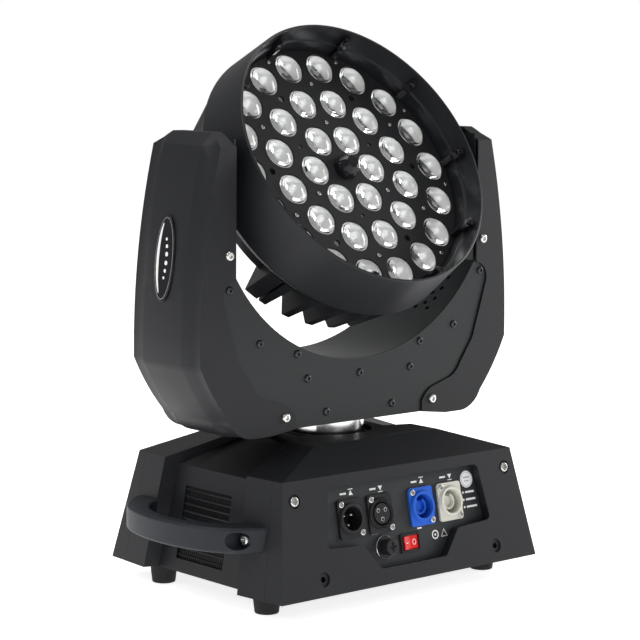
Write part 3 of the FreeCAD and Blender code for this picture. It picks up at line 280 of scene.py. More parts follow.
def finish(name):
    """The material of that name, made at its first use."""
    if name not in FINISHES:
        look = bpy.context.scene.wash_light_looks
        casing = tuple(look.casing_colour)
        steel = tuple(look.plate_colour)
        recipes = {
            "casing": lambda: moulded_plastic("Casing plastic", casing, 0.47),
            "handle": lambda: moulded_plastic("Handle plastic", (0.014, 0.0165, 0.022), 0.50),
            "hood": lambda: moulded_plastic("Hood plastic", shade(casing, 1.25)[:3], 0.40, 0.9,
                                            0.025),
            "hood_inside": lambda: moulded_plastic("Hood inner plastic", shade(casing, 0.6)[:3],
                                                   0.26, 1.5, 0.012),
            "steel": lambda: powder_steel("Yoke sheet steel", steel, 0.40),
            # painted reflection: the lining is the yoke steel made twice as light, standing in
            # for the studio reflected inside the yoke, on top of its real glossier, more
            # metallic coat
            "skin": lambda: powder_steel("Yoke lining steel with painted reflection", shade(steel, 2.0)[:3], 0.25, 0.6),
            "panel": lambda: powder_steel("Panel steel", (0.030, 0.032, 0.035), 0.42, 0.2),
            "lens_plate": lambda: powder_steel("Lens plate steel", (0.013, 0.0135, 0.015), 0.58,
                                               0.1),
            "zinc": lambda: bright_metal("Bright zinc", (0.74, 0.74, 0.72), 0.24,
                                         (1.0, 1.0, 1.0), 1.6),
            "dark_screw": lambda: bright_metal("Blackened screw", (0.06, 0.06, 0.065), 0.34,
                                               (1.0, 1.0, 1.0), 1.6),
            "spindle": lambda: bright_metal("Turned aluminium", (0.86, 0.86, 0.86), 0.17,
                                            (0.2, 0.2, 6.0), 6.0),
            "aluminium": lambda: bright_metal("Inner aluminium", (0.72, 0.72, 0.73), 0.36),
            "ground": lambda: bright_metal("Ground steel", (0.58, 0.58, 0.59), 0.27),
            "motor": lambda: powder_steel("Motor black", (0.035, 0.035, 0.037), 0.36, 0.3),
            "rubber": lambda: soft_rubber("Foot rubber", (0.016, 0.016, 0.017)),
            "gloss": lambda: moulded_plastic("Gloss black", (0.010, 0.010, 0.012), 0.16, 3.0,
                                             0.006),
            "black": lambda: moulded_plastic("Fitting black", (0.016, 0.016, 0.018), 0.34, 0.8,
                                             0.02),
            "blue": lambda: moulded_plastic("Mains inlet blue", (0.016, 0.115, 0.60), 0.34, 0.8,
                                            0.02),
            "grey": lambda: moulded_plastic("Mains outlet grey", (0.66, 0.65, 0.58), 0.36, 0.8,
                                            0.02),
            "red": lambda: moulded_plastic("Rocker red", (0.72, 0.012, 0.012), 0.24, 2.0, 0.01),
            "board": lambda: moulded_plastic("Board white", (0.72, 0.74, 0.72), 0.5),
            "lens": lambda: clear_lens("Lens acrylic"),
            "core": lambda: frosted_core("Lens core with painted glow", (0.84, 0.85, 0.84)),
            "white": lambda: moulded_plastic("Printed white", (0.80, 0.80, 0.79), 0.45, 1.0,
                                             0.01, 0.04),
            "paper": lambda: moulded_plastic("Label paper", (0.84, 0.85, 0.86), 0.6, 0.6,
                                             0.01, 0.03),
            "ink": lambda: moulded_plastic("Label ink", (0.25, 0.26, 0.28), 0.6, 0.6, 0.01),
            # painted shade: near-black colour of the flat discs that stand for the dark inside
            # of the contact holes
            "painted_hole_shade": lambda: moulded_plastic("Painted contact hole shade", (0.003, 0.003, 0.003), 0.6),
            "glow": lambda: glowing("Display lines", (0.35, 0.72, 0.95), 1.2),
            "window": lambda: moulded_plastic("Display window", (0.008, 0.014, 0.022), 0.08, 3.0,
                                              0.003),
            # painted shade: the frame's grille slab, behind the bars, gets this near-black
            # finish to stand for the dark space behind the grille
            "mesh": lambda: powder_steel("Grille backing with painted shade", (0.016, 0.016, 0.017), 0.40, 0.4),
        }
        FINISHES[name] = recipes[name]()
    return FINISHES[name]


# ------------------------------------------------------------------ mesh helpers
def head_points(local):
    """Points given as u, v, n about the tilt axis, in mm, moved to the row frame in metres."""
    local = np.asarray(local, dtype=float)
    spots = (local[..., 0:1] * HEAD_U + local[..., 1:2] * HEAD_V + local[..., 2:3] * HEAD_N)
    return (spots + TILT_AXIS) * MM


def wall_points(local, rear=False):
    """Points given as u, v, w on a long wall of the base, in mm, moved to the row frame.

    v climbs the leaning wall from its bottom edge and w stands out of it.
    """
    local = np.asarray(local, dtype=float)
    side = -1.0 if rear else 1.0
    x = side * local[..., 0]
    y = side * (-BASE_HY + local[..., 1] * WALL_SIN - local[..., 2] * WALL_COS)
    z = FOOT_H + local[..., 1] * WALL_COS + local[..., 2] * WALL_SIN
    return np.stack([x, y, z], axis=-1) * MM


def grid_faces(rows, columns, wrap_rows=False, wrap_columns=False):
    """Quads of a grid of points counted row by row, closed round where it wraps."""
    r = np.arange(rows if wrap_rows else rows - 1)
    c = np.arange(columns if wrap_columns else columns - 1)
    r, c = np.meshgrid(r, c, indexing="ij")
    r2 = (r + 1) % rows
    c2 = (c + 1) % columns
    quads = np.stack([r * columns + c, r * columns + c2, r2 * columns + c2, r2 * columns + c],
                     axis=-1)
    return quads.reshape(-1, 4)


def mesh_object(name, points, faces, material, body, sharp_deg=30.0):
    """Object from arrays of points in metres and faces, riding on a body.

    Points that meet are merged and the normals turned outwards.
    """
    mesh = bpy.data.meshes.new(name)
    mesh.from_pydata(np.asarray(points).reshape(-1, 3).tolist(), [],
                     [list(f) for f in faces])
    work = bmesh.new()
    work.from_mesh(mesh)
    bmesh.ops.remove_doubles(work, verts=work.verts, dist=1e-6)
    bmesh.ops.recalc_face_normals(work, faces=work.faces)
    work.to_mesh(mesh)
    work.free()
    mesh.polygons.foreach_set("use_smooth", np.ones(len(mesh.polygons), dtype=bool))
    mesh.set_sharp_from_angle(angle=math.radians(sharp_deg))
    thing = bpy.data.objects.new(name, mesh)
    bpy.context.scene.collection.objects.link(thing)
    thing.data.materials.append(finish(material))
    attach(thing, body)
    return thing


def revolved(profile, turns):
    """Closed surface of an (r, z) profile turned about z; ends on the axis close themselves."""
    profile = np.asarray(profile, dtype=float)
    angle = np.linspace(0.0, 2.0 * math.pi, turns, endpoint=False)
    ring = np.stack([np.cos(angle), np.sin(angle)], axis=-1)
    xy = profile[:, None, 0:1] * ring[None]
    z = np.broadcast_to(profile[:, None, 1:2], (len(profile), turns, 1))
    return np.concatenate([xy, z], axis=-1), grid_faces(len(profile), turns, wrap_columns=True)


def repeated(points, faces, offsets):
    """Copies of one small mesh, moved by each offset."""
    points = np.asarray(points, dtype=float).reshape(-1, 3)
    offsets = np.asarray(offsets, dtype=float)
    many = (points[None] + offsets[:, None]).reshape(-1, 3)
    start = (np.arange(len(offsets)) * len(points))[:, None, None]
    return many, (np.asarray(faces)[None] + start).reshape(-1, np.asarray(faces).shape[1])


def lens_offsets():
    """Centres of the lenses on the lens plate, as u, v, n offsets in mm."""
    spots = []
    for count, radius, phase in LENS_RINGS:
        angle = np.radians(phase + np.arange(count) * 360.0 / count)
        spots.append(np.stack([radius * np.cos(angle), radius * np.sin(angle),
                               np.zeros(count)], axis=-1))
    return np.concatenate(spots)


def softened(node, name, material, body, width_mm):
    """Copy of a CAD piece with its flat areas joined and its edges rounded over."""
    source = frame["nodes"][node]
    work = bmesh.new()
    work.from_mesh(source.data)
    bmesh.ops.remove_doubles(work, verts=work.verts, dist=2e-6)
    bmesh.ops.dissolve_limit(work, angle_limit=math.radians(0.6), verts=work.verts,
                             edges=work.edges)
    mesh = bpy.data.meshes.new(name)
    work.to_mesh(mesh)
    work.free()
    mesh.materials.clear()
    mesh.materials.append(finish(material))
    mesh.polygons.foreach_set("use_smooth", np.ones(len(mesh.polygons), dtype=bool))
    thing = bpy.data.objects.new(name, mesh)
    bpy.context.scene.collection.objects.link(thing)
    bevel = thing.modifiers.new("Rounded edges", "BEVEL")
    bevel.width = width_mm * MM
    bevel.segments = 2
    bevel.limit_method = "ANGLE"
    bevel.angle_limit = math.radians(28.0)
    bevel.use_clamp_overlap = True
    flat = thing.modifiers.new("Flat faces", "WEIGHTED_NORMAL")
    flat.weight = 80
    flat.keep_sharp = True
    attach(thing, body)
    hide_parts(node)
    return thing


def in_plane(origin, right, up):
    """Function that moves local x, y, z in mm to a plane in the row frame, in metres.

    The plane is given by its origin in mm and two axes.
    """
    right = np.asarray(right, dtype=float)
    up = np.asarray(up, dtype=float)
    normal = np.cross(right, up)

    def move(local):
        local = np.asarray(local, dtype=float)
        spots = local[..., 0:1] * right + local[..., 1:2] * up + local[..., 2:3] * normal
        return (spots + np.asarray(origin, dtype=float)) * MM

    return move


def joined(parts):
    """Points and faces of several small meshes as one."""
    points = []
    faces = []
    start = 0
    for spots, sides in parts:
        spots = np.asarray(spots, dtype=float).reshape(-1, 3)
        points.append(spots)
        faces.extend([[int(k) + start for k in side] for side in sides])
        start += len(spots)
    return np.concatenate(points), faces


def stroke(path, width, lift, closed=False):
    """Flat ribbon of one width that follows a plane path, lying at height lift."""
    path = np.asarray(path, dtype=float)
    if closed:
        along = np.roll(path, -1, axis=0) - np.roll(path, 1, axis=0)
    else:
        along = np.gradient(path, axis=0)
    along /= np.linalg.norm(along, axis=1, keepdims=True)
    side = np.stack([-along[:, 1], along[:, 0]], axis=-1) * (width / 2)
    both = np.stack([path - side, path + side], axis=1)
    points = np.concatenate([both, np.full(both.shape[:2] + (1,), lift)], axis=-1)
    return points, grid_faces(len(path), 2, wrap_rows=closed)


def arc(centre, radii, start, end, count=24):
    """Points of an elliptic arc, angles in degrees."""
    angle = np.radians(np.linspace(start, end, count))
    return np.stack([centre[0] + radii[0] * np.cos(angle),
                     centre[1] + radii[1] * np.sin(angle)], axis=-1)


def patch(outline, lift):
    """One flat face inside an outline, at height lift."""
    outline = np.asarray(outline, dtype=float)
    points = np.concatenate([outline, np.full((len(outline), 1), lift)], axis=-1)
    return points, [list(range(len(outline)))]


def swept(profile, starts, ends):
    """Straight bars: one closed (a, b) profile on the first two axes between two end offsets.

    Each bar joins the profile moved by its start to the profile moved by its end.
    """
    profile = np.asarray(profile, dtype=float)
    count = len(profile)
    spots = np.stack([np.asarray(starts, dtype=float), np.asarray(ends, dtype=float)], axis=1)
    points = profile[None, None] + spots[:, :, None]
    sides = grid_faces(2, count, wrap_columns=True)
    start = (np.arange(len(spots)) * 2 * count)[:, None, None]
    faces = (sides[None] + start).reshape(-1, 4).tolist()
    caps = np.arange(count)[None, :] + start[:, :, 0]
    faces += caps.tolist() + (caps + count).tolist()
    return points.reshape(-1, 3), faces


def screw_heads(name, seats, r, height, material, body):
    """Round-edged screw heads with a round socket, each profile turned about its own axis.

    seats is a list of (place, axis) pairs in mm, the place lying under the head, and r is
    the radius of a head.
    """
    profile = [(0.0, 0.35 * height), (0.40 * r, 0.35 * height), (0.44 * r, 0.94 * height),
               (0.62 * r, height), (0.84 * r, 0.86 * height), (0.96 * r, 0.55 * height),
               (r, 0.2 * height), (r, -0.3)]
    head, faces = revolved(profile, 20)
    parts = []
    for place, axis in seats:
        axis = np.asarray(axis, dtype=float)
        right = np.cross(axis, (0.0, 0.0, 1.0))
        if np.linalg.norm(right) < 0.1:
            right = np.array([1.0, 0.0, 0.0])
        right /= np.linalg.norm(right)
        parts.append((in_plane(place, right, np.cross(axis, right))(head), faces))
    points, sides = joined(parts)
    return mesh_object(name, points, sides, material, body, 35.0)


# ------------------------------------------------------------------ settings
class WASHLIGHT_PG_looks(bpy.types.PropertyGroup):
    """Sizes and colours that a user would change."""

    casing_colour: FloatVectorProperty(
        name="Casing", description="Colour of the plastic casings", subtype="COLOR",
        size=3, min=0.0, max=1.0, default=(0.0092, 0.0098, 0.0118))
    plate_colour: FloatVectorProperty(
        name="Yoke plates", description="Colour of the yoke's sheet steel", subtype="COLOR",
        size=3, min=0.0, max=1.0, default=(0.022, 0.0242, 0.0252))
    lens_turns: IntProperty(
        name="Lens smoothness", description="Sides of each turned lens", default=40, min=12,
        max=96)


class WASHLIGHT_PG_stage(bpy.types.PropertyGroup):
    """Camera and light."""

    surround: FloatProperty(
        name="Surround", description="Brightness of the studio walls", default=0.30, min=0.0)
    azimuth: FloatProperty(
        name="Azimuth", description="Camera direction about the vertical, from the panel side",
        subtype="ANGLE", unit="ROTATION", default=math.radians(-41.21))
    elevation: FloatProperty(
        name="Elevation", description="Camera height angle", subtype="ANGLE",
        unit="ROTATION", default=math.radians(6.9))
    roll: FloatProperty(
        name="Roll", description="Camera roll", subtype="ANGLE", unit="ROTATION",
        default=math.radians(0.46))
    lens: FloatProperty(
        name="Lens", description="Focal length on a 36 mm sensor, in millimetres",
        default=124.1, min=10.0)
    place: FloatVectorProperty(
        name="Camera place", description="Where the camera stands", subtype="TRANSLATION",
        unit="LENGTH", size=3, default=(-1.1910, -1.3513, 0.4316))


# ------------------------------------------------------------------ pieces
# the finish of each material slot in the frame, then the nodes that differ from their slot
CAD_FINISHES = {
    "cover_plastic": "casing", "handle_plastic": "handle", "hood_plastic": "hood",
    "rubber": "rubber", "yoke_steel": "steel", "skin_steel": "skin", "plate_steel": "lens_plate",
    "panel_steel": "panel", "zinc": "zinc", "spindle": "spindle", "inner_aluminium": "aluminium",
    "motor_steel": "motor", "bearing_steel": "ground", "shaft_steel": "ground",
    "belt": "rubber", "lens": "lens", "gloss_black": "gloss", "black_plastic": "black",
    "blue_plastic": "blue", "grey_plastic": "grey", "red_plastic": "red", "board": "board",
    # the grille slab behind the bars takes the near-black painted-shade finish
    "supply": "aluminium", "grille": "mesh",
}
NODE_FINISHES = {"clip_screws": "dark_screw", "fuse_holder": "black"}


class WASHLIGHT_OT_finishes(bpy.types.Operator):
    """Give every piece of the frame its procedural finish."""

    bl_idname = "washlight.finishes"
    bl_label = "Frame finishes"

    def execute(self, context):
        slots = {row["node"]: row["material_slot"] for row in frame["record"]["subparts"]}
        for node, thing in frame["nodes"].items():
            for place in thing.material_slots:
                look = NODE_FINISHES.get(node, CAD_FINISHES[slots[node]])
                place.material = finish(look)
        return {"FINISHED"}


class WASHLIGHT_OT_lenses(bpy.types.Operator):
    """Clear domed lenses over silvery collimator cores.

    Each lens is a profile turned about its own axis: a flattened dome whose height falls
    with the square of the radius, and a short edge. Each core is a cup whose height climbs
    with the radius to the power 2.2, with a flange behind the plate.
    """

    bl_idname = "washlight.lenses"
    bl_label = "Lenses"

    def execute(self, context):
        turns = context.scene.wash_light_looks.lens_turns
        dome_r = 11.7
        dome_top = 28.2
        dome_height = 4.4
        r = np.linspace(0.0, dome_r, 12)
        dome = np.stack([r, dome_top - dome_height * (r / dome_r) ** 2], axis=-1)
        edge = [(12.2, 23.2), (LENS_R, 22.4), (LENS_R, LENS_BACK), (0.0, LENS_BACK)]
        points, faces = revolved(np.concatenate([dome, edge]), turns)
        many, quads = repeated(points, faces, lens_offsets())
        domes = mesh_object("lens_domes", head_points(many), quads, "lens", "lens_carrier",
                            40.0)
        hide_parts("lenses")

        cup_r = 11.6
        cup_floor = 15.4
        cup_depth = 5.0
        r = np.linspace(0.0, cup_r, 14)
        cup = np.stack([r, cup_floor + cup_depth * (r / cup_r) ** 2.2], axis=-1)
        back = [(12.2, 20.6), (14.3, LENS_BACK), (14.4, 19.2), (cup_r, 18.6), (6.6, 14.2),
                (0.0, 14.0)]
        points, faces = revolved(np.concatenate([cup, back]), turns)
        many, quads = repeated(points, faces, lens_offsets())
        cores = mesh_object("lens_cores", head_points(many), quads, "core", "lens_carrier",
                            40.0)
        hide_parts("lenses")
        return {"FINISHED"}


class WASHLIGHT_OT_casings(bpy.types.Operator):
    """Casings, sheet steel, handles and fittings with rounded edges."""

    bl_idname = "washlight.casings"
    bl_label = "Casings"

    def execute(self, context):
        # node, body, finish, slot, width of the rounding in mm
        for node, body, look, slot, width in (
                ("base_front_cover", "base", "casing", "cover_plastic", 1.6),
                ("base_rear_cover", "base", "casing", "cover_plastic", 1.6),
                ("base_centre_cover", "base", "casing", "cover_plastic", 1.4),
                ("left_arm_cover", "yoke", "casing", "cover_plastic", 1.5),
                ("right_arm_cover", "yoke", "casing", "cover_plastic", 1.5),
                ("head_rear_cover", "head", "hood", "cover_plastic", 1.6),
                ("head_hood", "head", "hood", "hood_plastic", 0.8),
                ("left_handle", "base", "handle", "handle_plastic", 1.2),
                ("right_handle", "base", "handle", "handle_plastic", 1.2),
                ("yoke_front_plate", "yoke", "steel", "yoke_steel", 0.5),
                ("yoke_rear_plate", "yoke", "steel", "yoke_steel", 0.5),
                ("yoke_inner_skin", "yoke", "skin", "skin_steel", 0.4),
                ("connector_panel", "base", "panel", "panel_steel", 0.4),
                ("rubber_feet", "base", "rubber", "rubber", 0.9),
                ("power_inlet", "base", "blue", "blue_plastic", 0.7),
                ("power_outlet", "base", "grey", "grey_plastic", 0.7),
                ("xlr_inlet", "base", "black", "black_plastic", 0.5),
                ("xlr_outlet", "base", "black", "black_plastic", 0.5),
                ("switch_body", "base", "black", "black_plastic", 0.5),
                ("display_bezel", "base", "gloss", "gloss_black", 0.5),
                ("hood_clips", "head", "gloss", "gloss_black", 0.5),
                ("centre_cap", "lens_carrier", "gloss", "gloss_black", 0.8)):
            softened(node, node + "_soft", look, body, width)
        return {"FINISHED"}


class WASHLIGHT_OT_screws(bpy.types.Operator):
    """Blackened screws of the yoke plates and bright screws of the arm covers."""

    bl_idname = "washlight.screws"
    bl_label = "Yoke screws"

    def execute(self, context):
        plate_y = 40.8
        cover_y = 42.4
        dark = [((sx * x, sy * plate_y, z), (0.0, sy, 0.0)) for sy in (-1, 1)
                for sx in (-1, 1) for x, z in PLATE_SCREWS if x > 0 or sx > 0]
        bright = [((sx * x, sy * cover_y, z), (0.0, sy, 0.0)) for sy in (-1, 1)
                  for sx in (-1, 1) for x, z in COVER_SCREWS]
        for name, seats, radius, height, look in (
                ("plate_screws", dark, 3.3, 1.5, "dark_screw"),
                ("cover_screws", bright, 4.0, 2.2, "zinc")):
            heads = screw_heads(name, seats, radius, height, look, "yoke")
            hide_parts("yoke_screws")
        return {"FINISHED"}


class WASHLIGHT_OT_grilles(bpy.types.Operator):
    """Pressed grilles of the sunk side bands: thin upright wires behind rounded cross bars.

    Each wire or bar is one closed profile swept straight from end to end, and all of them
    lean with the band.
    """

    bl_idname = "washlight.grilles"
    bl_label = "Side grilles"

    def execute(self, context):
        z = np.linspace(GRILLE_Z[0] + 3.0, GRILLE_Z[1] - 3.0, 10)
        y = np.linspace(GRILLE_Y[0] + 1.4, GRILLE_Y[1] - 1.4, 23)
        foot_x = 128.6
        half = [(0.0, 0.0, -1.0), (0.9, 0.0, -0.7), (1.25, 0.0, 0.0), (0.9, 0.0, 0.7),
                (0.0, 0.0, 1.0)]
        x = foot_x + (z - FOOT_H) * BAND_LEAN
        bars = swept(half, *(np.stack([x, np.full(len(z), edge), z], axis=-1)
                             for edge in GRILLE_Y))
        thin = [(0.0, -0.45, 0.0), (0.5, -0.45, 0.0), (0.5, 0.45, 0.0), (0.0, 0.45, 0.0)]
        wires = swept(thin, *(np.stack([np.full(len(y), foot_x + (edge - FOOT_H) * BAND_LEAN),
                                        y, np.full(len(y), edge)], axis=-1)
                              for edge in GRILLE_Z))
        spots, faces = joined([bars, wires])
        for side, name in ((-1, "left"), (1, "right")):
            points = spots * (side, 1, 1)
            mesh_object(name + "_grille_bars", points * MM, faces, "casing", "base")
        return {"FINISHED"}


class WASHLIGHT_OT_badges(bpy.types.Operator):
    """Oval badges: a silver line round the rim, a pale crescent and a row of dots.

    The crescent lies between an elliptic arc and the same arc drawn in by the square root
    of a half sine, so that they meet at both ends.
    """

    bl_idname = "washlight.badges"
    bl_label = "Arm badges"

    def execute(self, context):
        rise = BADGE_Z - ARM_EDGE_Z
        x = ARM_EDGE_X - ARM_EDGE_R + math.sqrt((ARM_EDGE_R + BAND_RAISE) ** 2 - rise ** 2)
        lean = math.atan2(rise, ARM_EDGE_R)
        move = in_plane((x - 0.45, BADGE_Y, BADGE_Z), (-math.sin(lean), 0, math.cos(lean)),
                        (0, -1, 0))
        rim_lift = 1.68
        mark_lift = 1.70
        rim = stroke(arc((0, 0), (31.6, 10.6), 0, 356, 72), 0.7, rim_lift, closed=True)
        angle = np.radians(np.linspace(22, 158, 40))
        share = (angle - angle[0]) / (angle[-1] - angle[0])
        outer = np.stack([29.6 * np.cos(angle), 9.2 * np.sin(angle)], axis=-1)
        inner = outer - np.stack([0.0 * share, 3.0 * np.sin(share * math.pi) ** 0.5], axis=-1)
        both = np.stack([outer, inner], axis=1)
        moon = (np.concatenate([both, np.full(both.shape[:2] + (1,), mark_lift)], axis=-1),
                grid_faces(len(both), 2))
        dots = [patch(arc((along, across), (size, size), 0, 330, 12), mark_lift)
                for along, across, size in ((-15.0, -1.6, 1.2), (-9.5, -2.6, 1.5),
                                            (-3.4, -3.1, 1.8), (3.4, -3.1, 1.8),
                                            (9.5, -2.6, 1.5), (15.0, -1.6, 1.2))]
        looks = (("rim", [rim], "ground"), ("marks", [moon, *dots], "white"))
        for side, name in ((-1, "left"), (1, "right")):
            for label, art, look in looks:
                points, faces = joined(art)
                if side < 0:
                    points = points * (1, -1, 1)
                spots = move(points)
                spots[..., 0] *= side
                mesh_object(name + "_badge_" + label, spots, faces, look, "yoke")
        return {"FINISHED"}


class WASHLIGHT_OT_fittings(bpy.types.Operator):
    """Inner parts of the connectors: pins, near-black discs of painted shade in the contact
    holes, collars and keyed hubs.

    Collars and pins are profiles turned about the connector's axis; a hub is a wall of one
    height that runs round most of a circle.
    """

    bl_idname = "washlight.fittings"
    bl_label = "Connector fittings"

    def execute(self, context):
        v = CONNECTOR_V
        centre = {name: u for name, u, look in CONNECTORS}
        pin = revolved([(0.0, -9.6), (0.7, -9.8), (1.2, -10.4), (1.2, -20.9)], 14)
        sleeve = revolved([(1.05, -4.9), (1.2, -4.42), (1.75, -4.38), (1.9, -4.6)], 14)
        # a flat disc across the mouth of each contact hole, painted near black as the shade
        # inside the hole
        hole = revolved([(0.0, -4.46), (1.1, -4.46)], 14)
        contacts = np.radians((35.0, 145.0, 270.0))
        for name, part, connector, circle, look in (
                ("inlet_pins", pin, "xlr_inlet", 5.0, "zinc"),
                ("outlet_sleeves", sleeve, "xlr_outlet", 4.6, "ground"),
                ("outlet_hole_shades", hole, "xlr_outlet", 4.6, "painted_hole_shade")):
            places = [(centre[connector] + circle * math.cos(a), v + circle * math.sin(a), 0.0)
                      for a in contacts]
            points, faces = repeated(*part, places)
            mesh_object(name, wall_points(points), faces, look, "base")

        ring = revolved([(9.6, -6.6), (9.7, -4.9), (10.2, -4.5), (12.0, -4.5), (12.5, -4.9),
                         (12.6, -6.2)], 48)
        for name, u, look in CONNECTORS:
            mesh_object(name + "_collar", wall_points(ring[0] + (u, v, 0.0)), ring[1], look,
                        "base")

        turn = np.radians(np.linspace(118.0, 422.0, 40))
        wall = np.array([(6.9, -19.9), (6.9, -8.4), (6.6, -8.1), (5.0, -8.1), (4.7, -8.4),
                         (4.7, -19.9)])
        rows, columns = len(turn), len(wall)
        arms = np.stack([wall[None, :, 0] * np.cos(turn)[:, None],
                         wall[None, :, 0] * np.sin(turn)[:, None],
                         np.broadcast_to(wall[None, :, 1], (rows, columns))], axis=-1)
        faces = grid_faces(rows, columns, wrap_columns=True).tolist()
        faces += [list(range(columns)), list(range((rows - 1) * columns, rows * columns))]
        for name, u, look in CONNECTORS[2:]:
            mesh_object(name + "_hub", wall_points(arms + (u, v, 0.0)), faces, look, "base")

        rim = revolved([(9.0, -7.9), (9.05, -6.2), (9.3, -5.9), (9.6, -6.2), (9.7, -7.9)], 40)
        mesh_object("fuse_rim", wall_points(rim[0] + (FUSE_U, LOW_V, 0.0)), rim[1], "zinc",
                    "base")
        return {"FINISHED"}


class WASHLIGHT_OT_prints(bpy.types.Operator):
    """Printed marks: arrows over the connectors, bars for the contact list and rocker marks.

    Every mark is a flat face or a ribbon along a plane path, just above its surface. The
    rocker's marks lie on its two slopes, turned with it.
    """

    bl_idname = "washlight.prints"
    bl_label = "Printed marks"

    def execute(self, context):
        lift = PANEL_FACE + 0.12
        marks = []
        for (name, u, look), v, way in zip(CONNECTORS, (75.6, 75.6, 75.8, 75.8),
                                           (-1, 1, -1, 1)):
            marks.append(stroke([(u - 7.5, v), (u - 1.0, v)], 1.5, lift))
            marks.append(patch([(u + 1.6, v + way * 1.8), (u + 6.2, v + way * 1.8),
                                (u + 3.9, v - way * 2.1)][::way], lift))
            marks.append(stroke([(u + 1.4, v - way * 2.9), (u + 6.4, v - way * 2.9)], 0.7,
                                lift))
        for row in range(3):
            v = 60.5 - 6.0 * row
            marks.append(patch(arc((71.5, v), (1.0, 1.0), 0, 330, 12), lift))
            marks.append(stroke([(74.0, v), (84.0 + row, v)], 1.7, lift))
        marks.append(stroke(arc((35.0, 31.0), (3.2, 3.2), 0, 345, 24), 1.1, lift, closed=True))
        marks.append(patch(arc((35.0, 31.0), (1.0, 1.0), 0, 330, 12), lift))
        marks.append(stroke([(41.6, 28.6), (44.9, 34.4), (48.2, 28.6)], 1.0, lift, closed=True))
        marks.append(stroke([(-33.0, 40.5), (-26.0, 40.5)], 1.3, lift))
        marks.append(stroke([(16.0, 38.5), (21.0, 38.5)], 1.2, lift))
        points, faces = joined(marks)
        mesh_object("panel_prints", wall_points(points), faces, "white", "base")

        u, v = 77.0, 71.0
        label = patch(arc((u, v), (6.9, 6.9), 0, 352.5, 48), PANEL_FACE + 0.15)
        mesh_object("round_label", wall_points(label[0]), label[1], "paper", "base")
        lift = PANEL_FACE + 0.20
        lines = [stroke(arc((u, v), (5.9, 5.9), 0, 352.5, 48), 0.35, lift, closed=True),
                 stroke([(u - 3.4, v + 1.6), (u + 3.4, v + 1.6)], 0.8, lift),
                 stroke([(u - 2.6, v - 1.4), (u + 2.6, v - 1.4)], 0.6, lift)]
        points, faces = joined(lines)
        mesh_object("round_label_lines", wall_points(points), faces, "ink", "base")

        half, dip, rise = 8.2, 0.6, 1.3
        slope = math.atan2(rise, half)
        marks = []
        for side, art in ((-1, stroke([(-1.7, 0.0), (1.7, 0.0)], 0.55, 0.0)),
                          (1, stroke(arc((0, 0), (1.7, 2.1), 0, 345, 24), 0.6, 0.0, True))):
            local, faces = art
            x = side * 4.4 + local[..., 0] * math.cos(slope)
            z = dip + rise * np.abs(x) / half + 0.08
            u = x * math.cos(ROCKER_REST) + z * math.sin(ROCKER_REST)
            w = -x * math.sin(ROCKER_REST) + z * math.cos(ROCKER_REST)
            spots = np.stack([u + ROCKER_U, local[..., 1] + LOW_V, w + PANEL_FACE], axis=-1)
            marks.append((spots, faces))
        points, faces = joined(marks)
        mesh_object("rocker_marks", wall_points(points), faces, "white", "rocker")
        return {"FINISHED"}


class WASHLIGHT_OT_display(bpy.types.Operator):
    """Display window with a generic menu of bars, and arrows beside the buttons."""

    bl_idname = "washlight.display"
    bl_label = "Display"

    def execute(self, context):
        glass = -0.9
        pane = patch([(-49.6, 34.4), (17.6, 34.4), (17.6, 65.6), (-49.6, 65.6)], glass)
        mesh_object("display_pane", wall_points(pane[0], rear=True), pane[1], "window", "base")
        lines = []
        for row in range(4):
            v = 60.5 - 6.6 * row
            lines.append(patch(arc((-43.0, v), (1.3, 1.3), 0, 330, 12), glass + 0.08))
            for start, end in ((-39.0, -18.0 + 4.0 * (row % 2)), (2.0, 11.0)):
                lines.append(stroke([(start, v), (end, v)], 1.6, glass + 0.08))
        points, faces = joined(lines)
        mesh_object("display_lines", wall_points(points, rear=True), faces, "glow", "base")
        lift = 2.08
        left, right, low, high = 34.0, 49.0, 33.0, 67.0
        marks = []
        for place, outline in (((left, high), [(-1.8, 0.0), (1.6, 1.8), (1.6, -1.8)]),
                               ((right, high), [(-2.0, -1.3), (2.0, -1.3), (0.0, 1.9)]),
                               ((left, low), [(2.0, 1.3), (-2.0, 1.3), (0.0, -1.9)])):
            marks.append(patch(np.array(outline) + place, lift))
        marks.append(stroke(arc((right, low), (1.6, 1.6), 0, 345, 24), 0.8, lift, closed=True))
        points, faces = joined(marks)
        mesh_object("button_marks", wall_points(points, rear=True), faces, "white", "base")
        return {"FINISHED"}


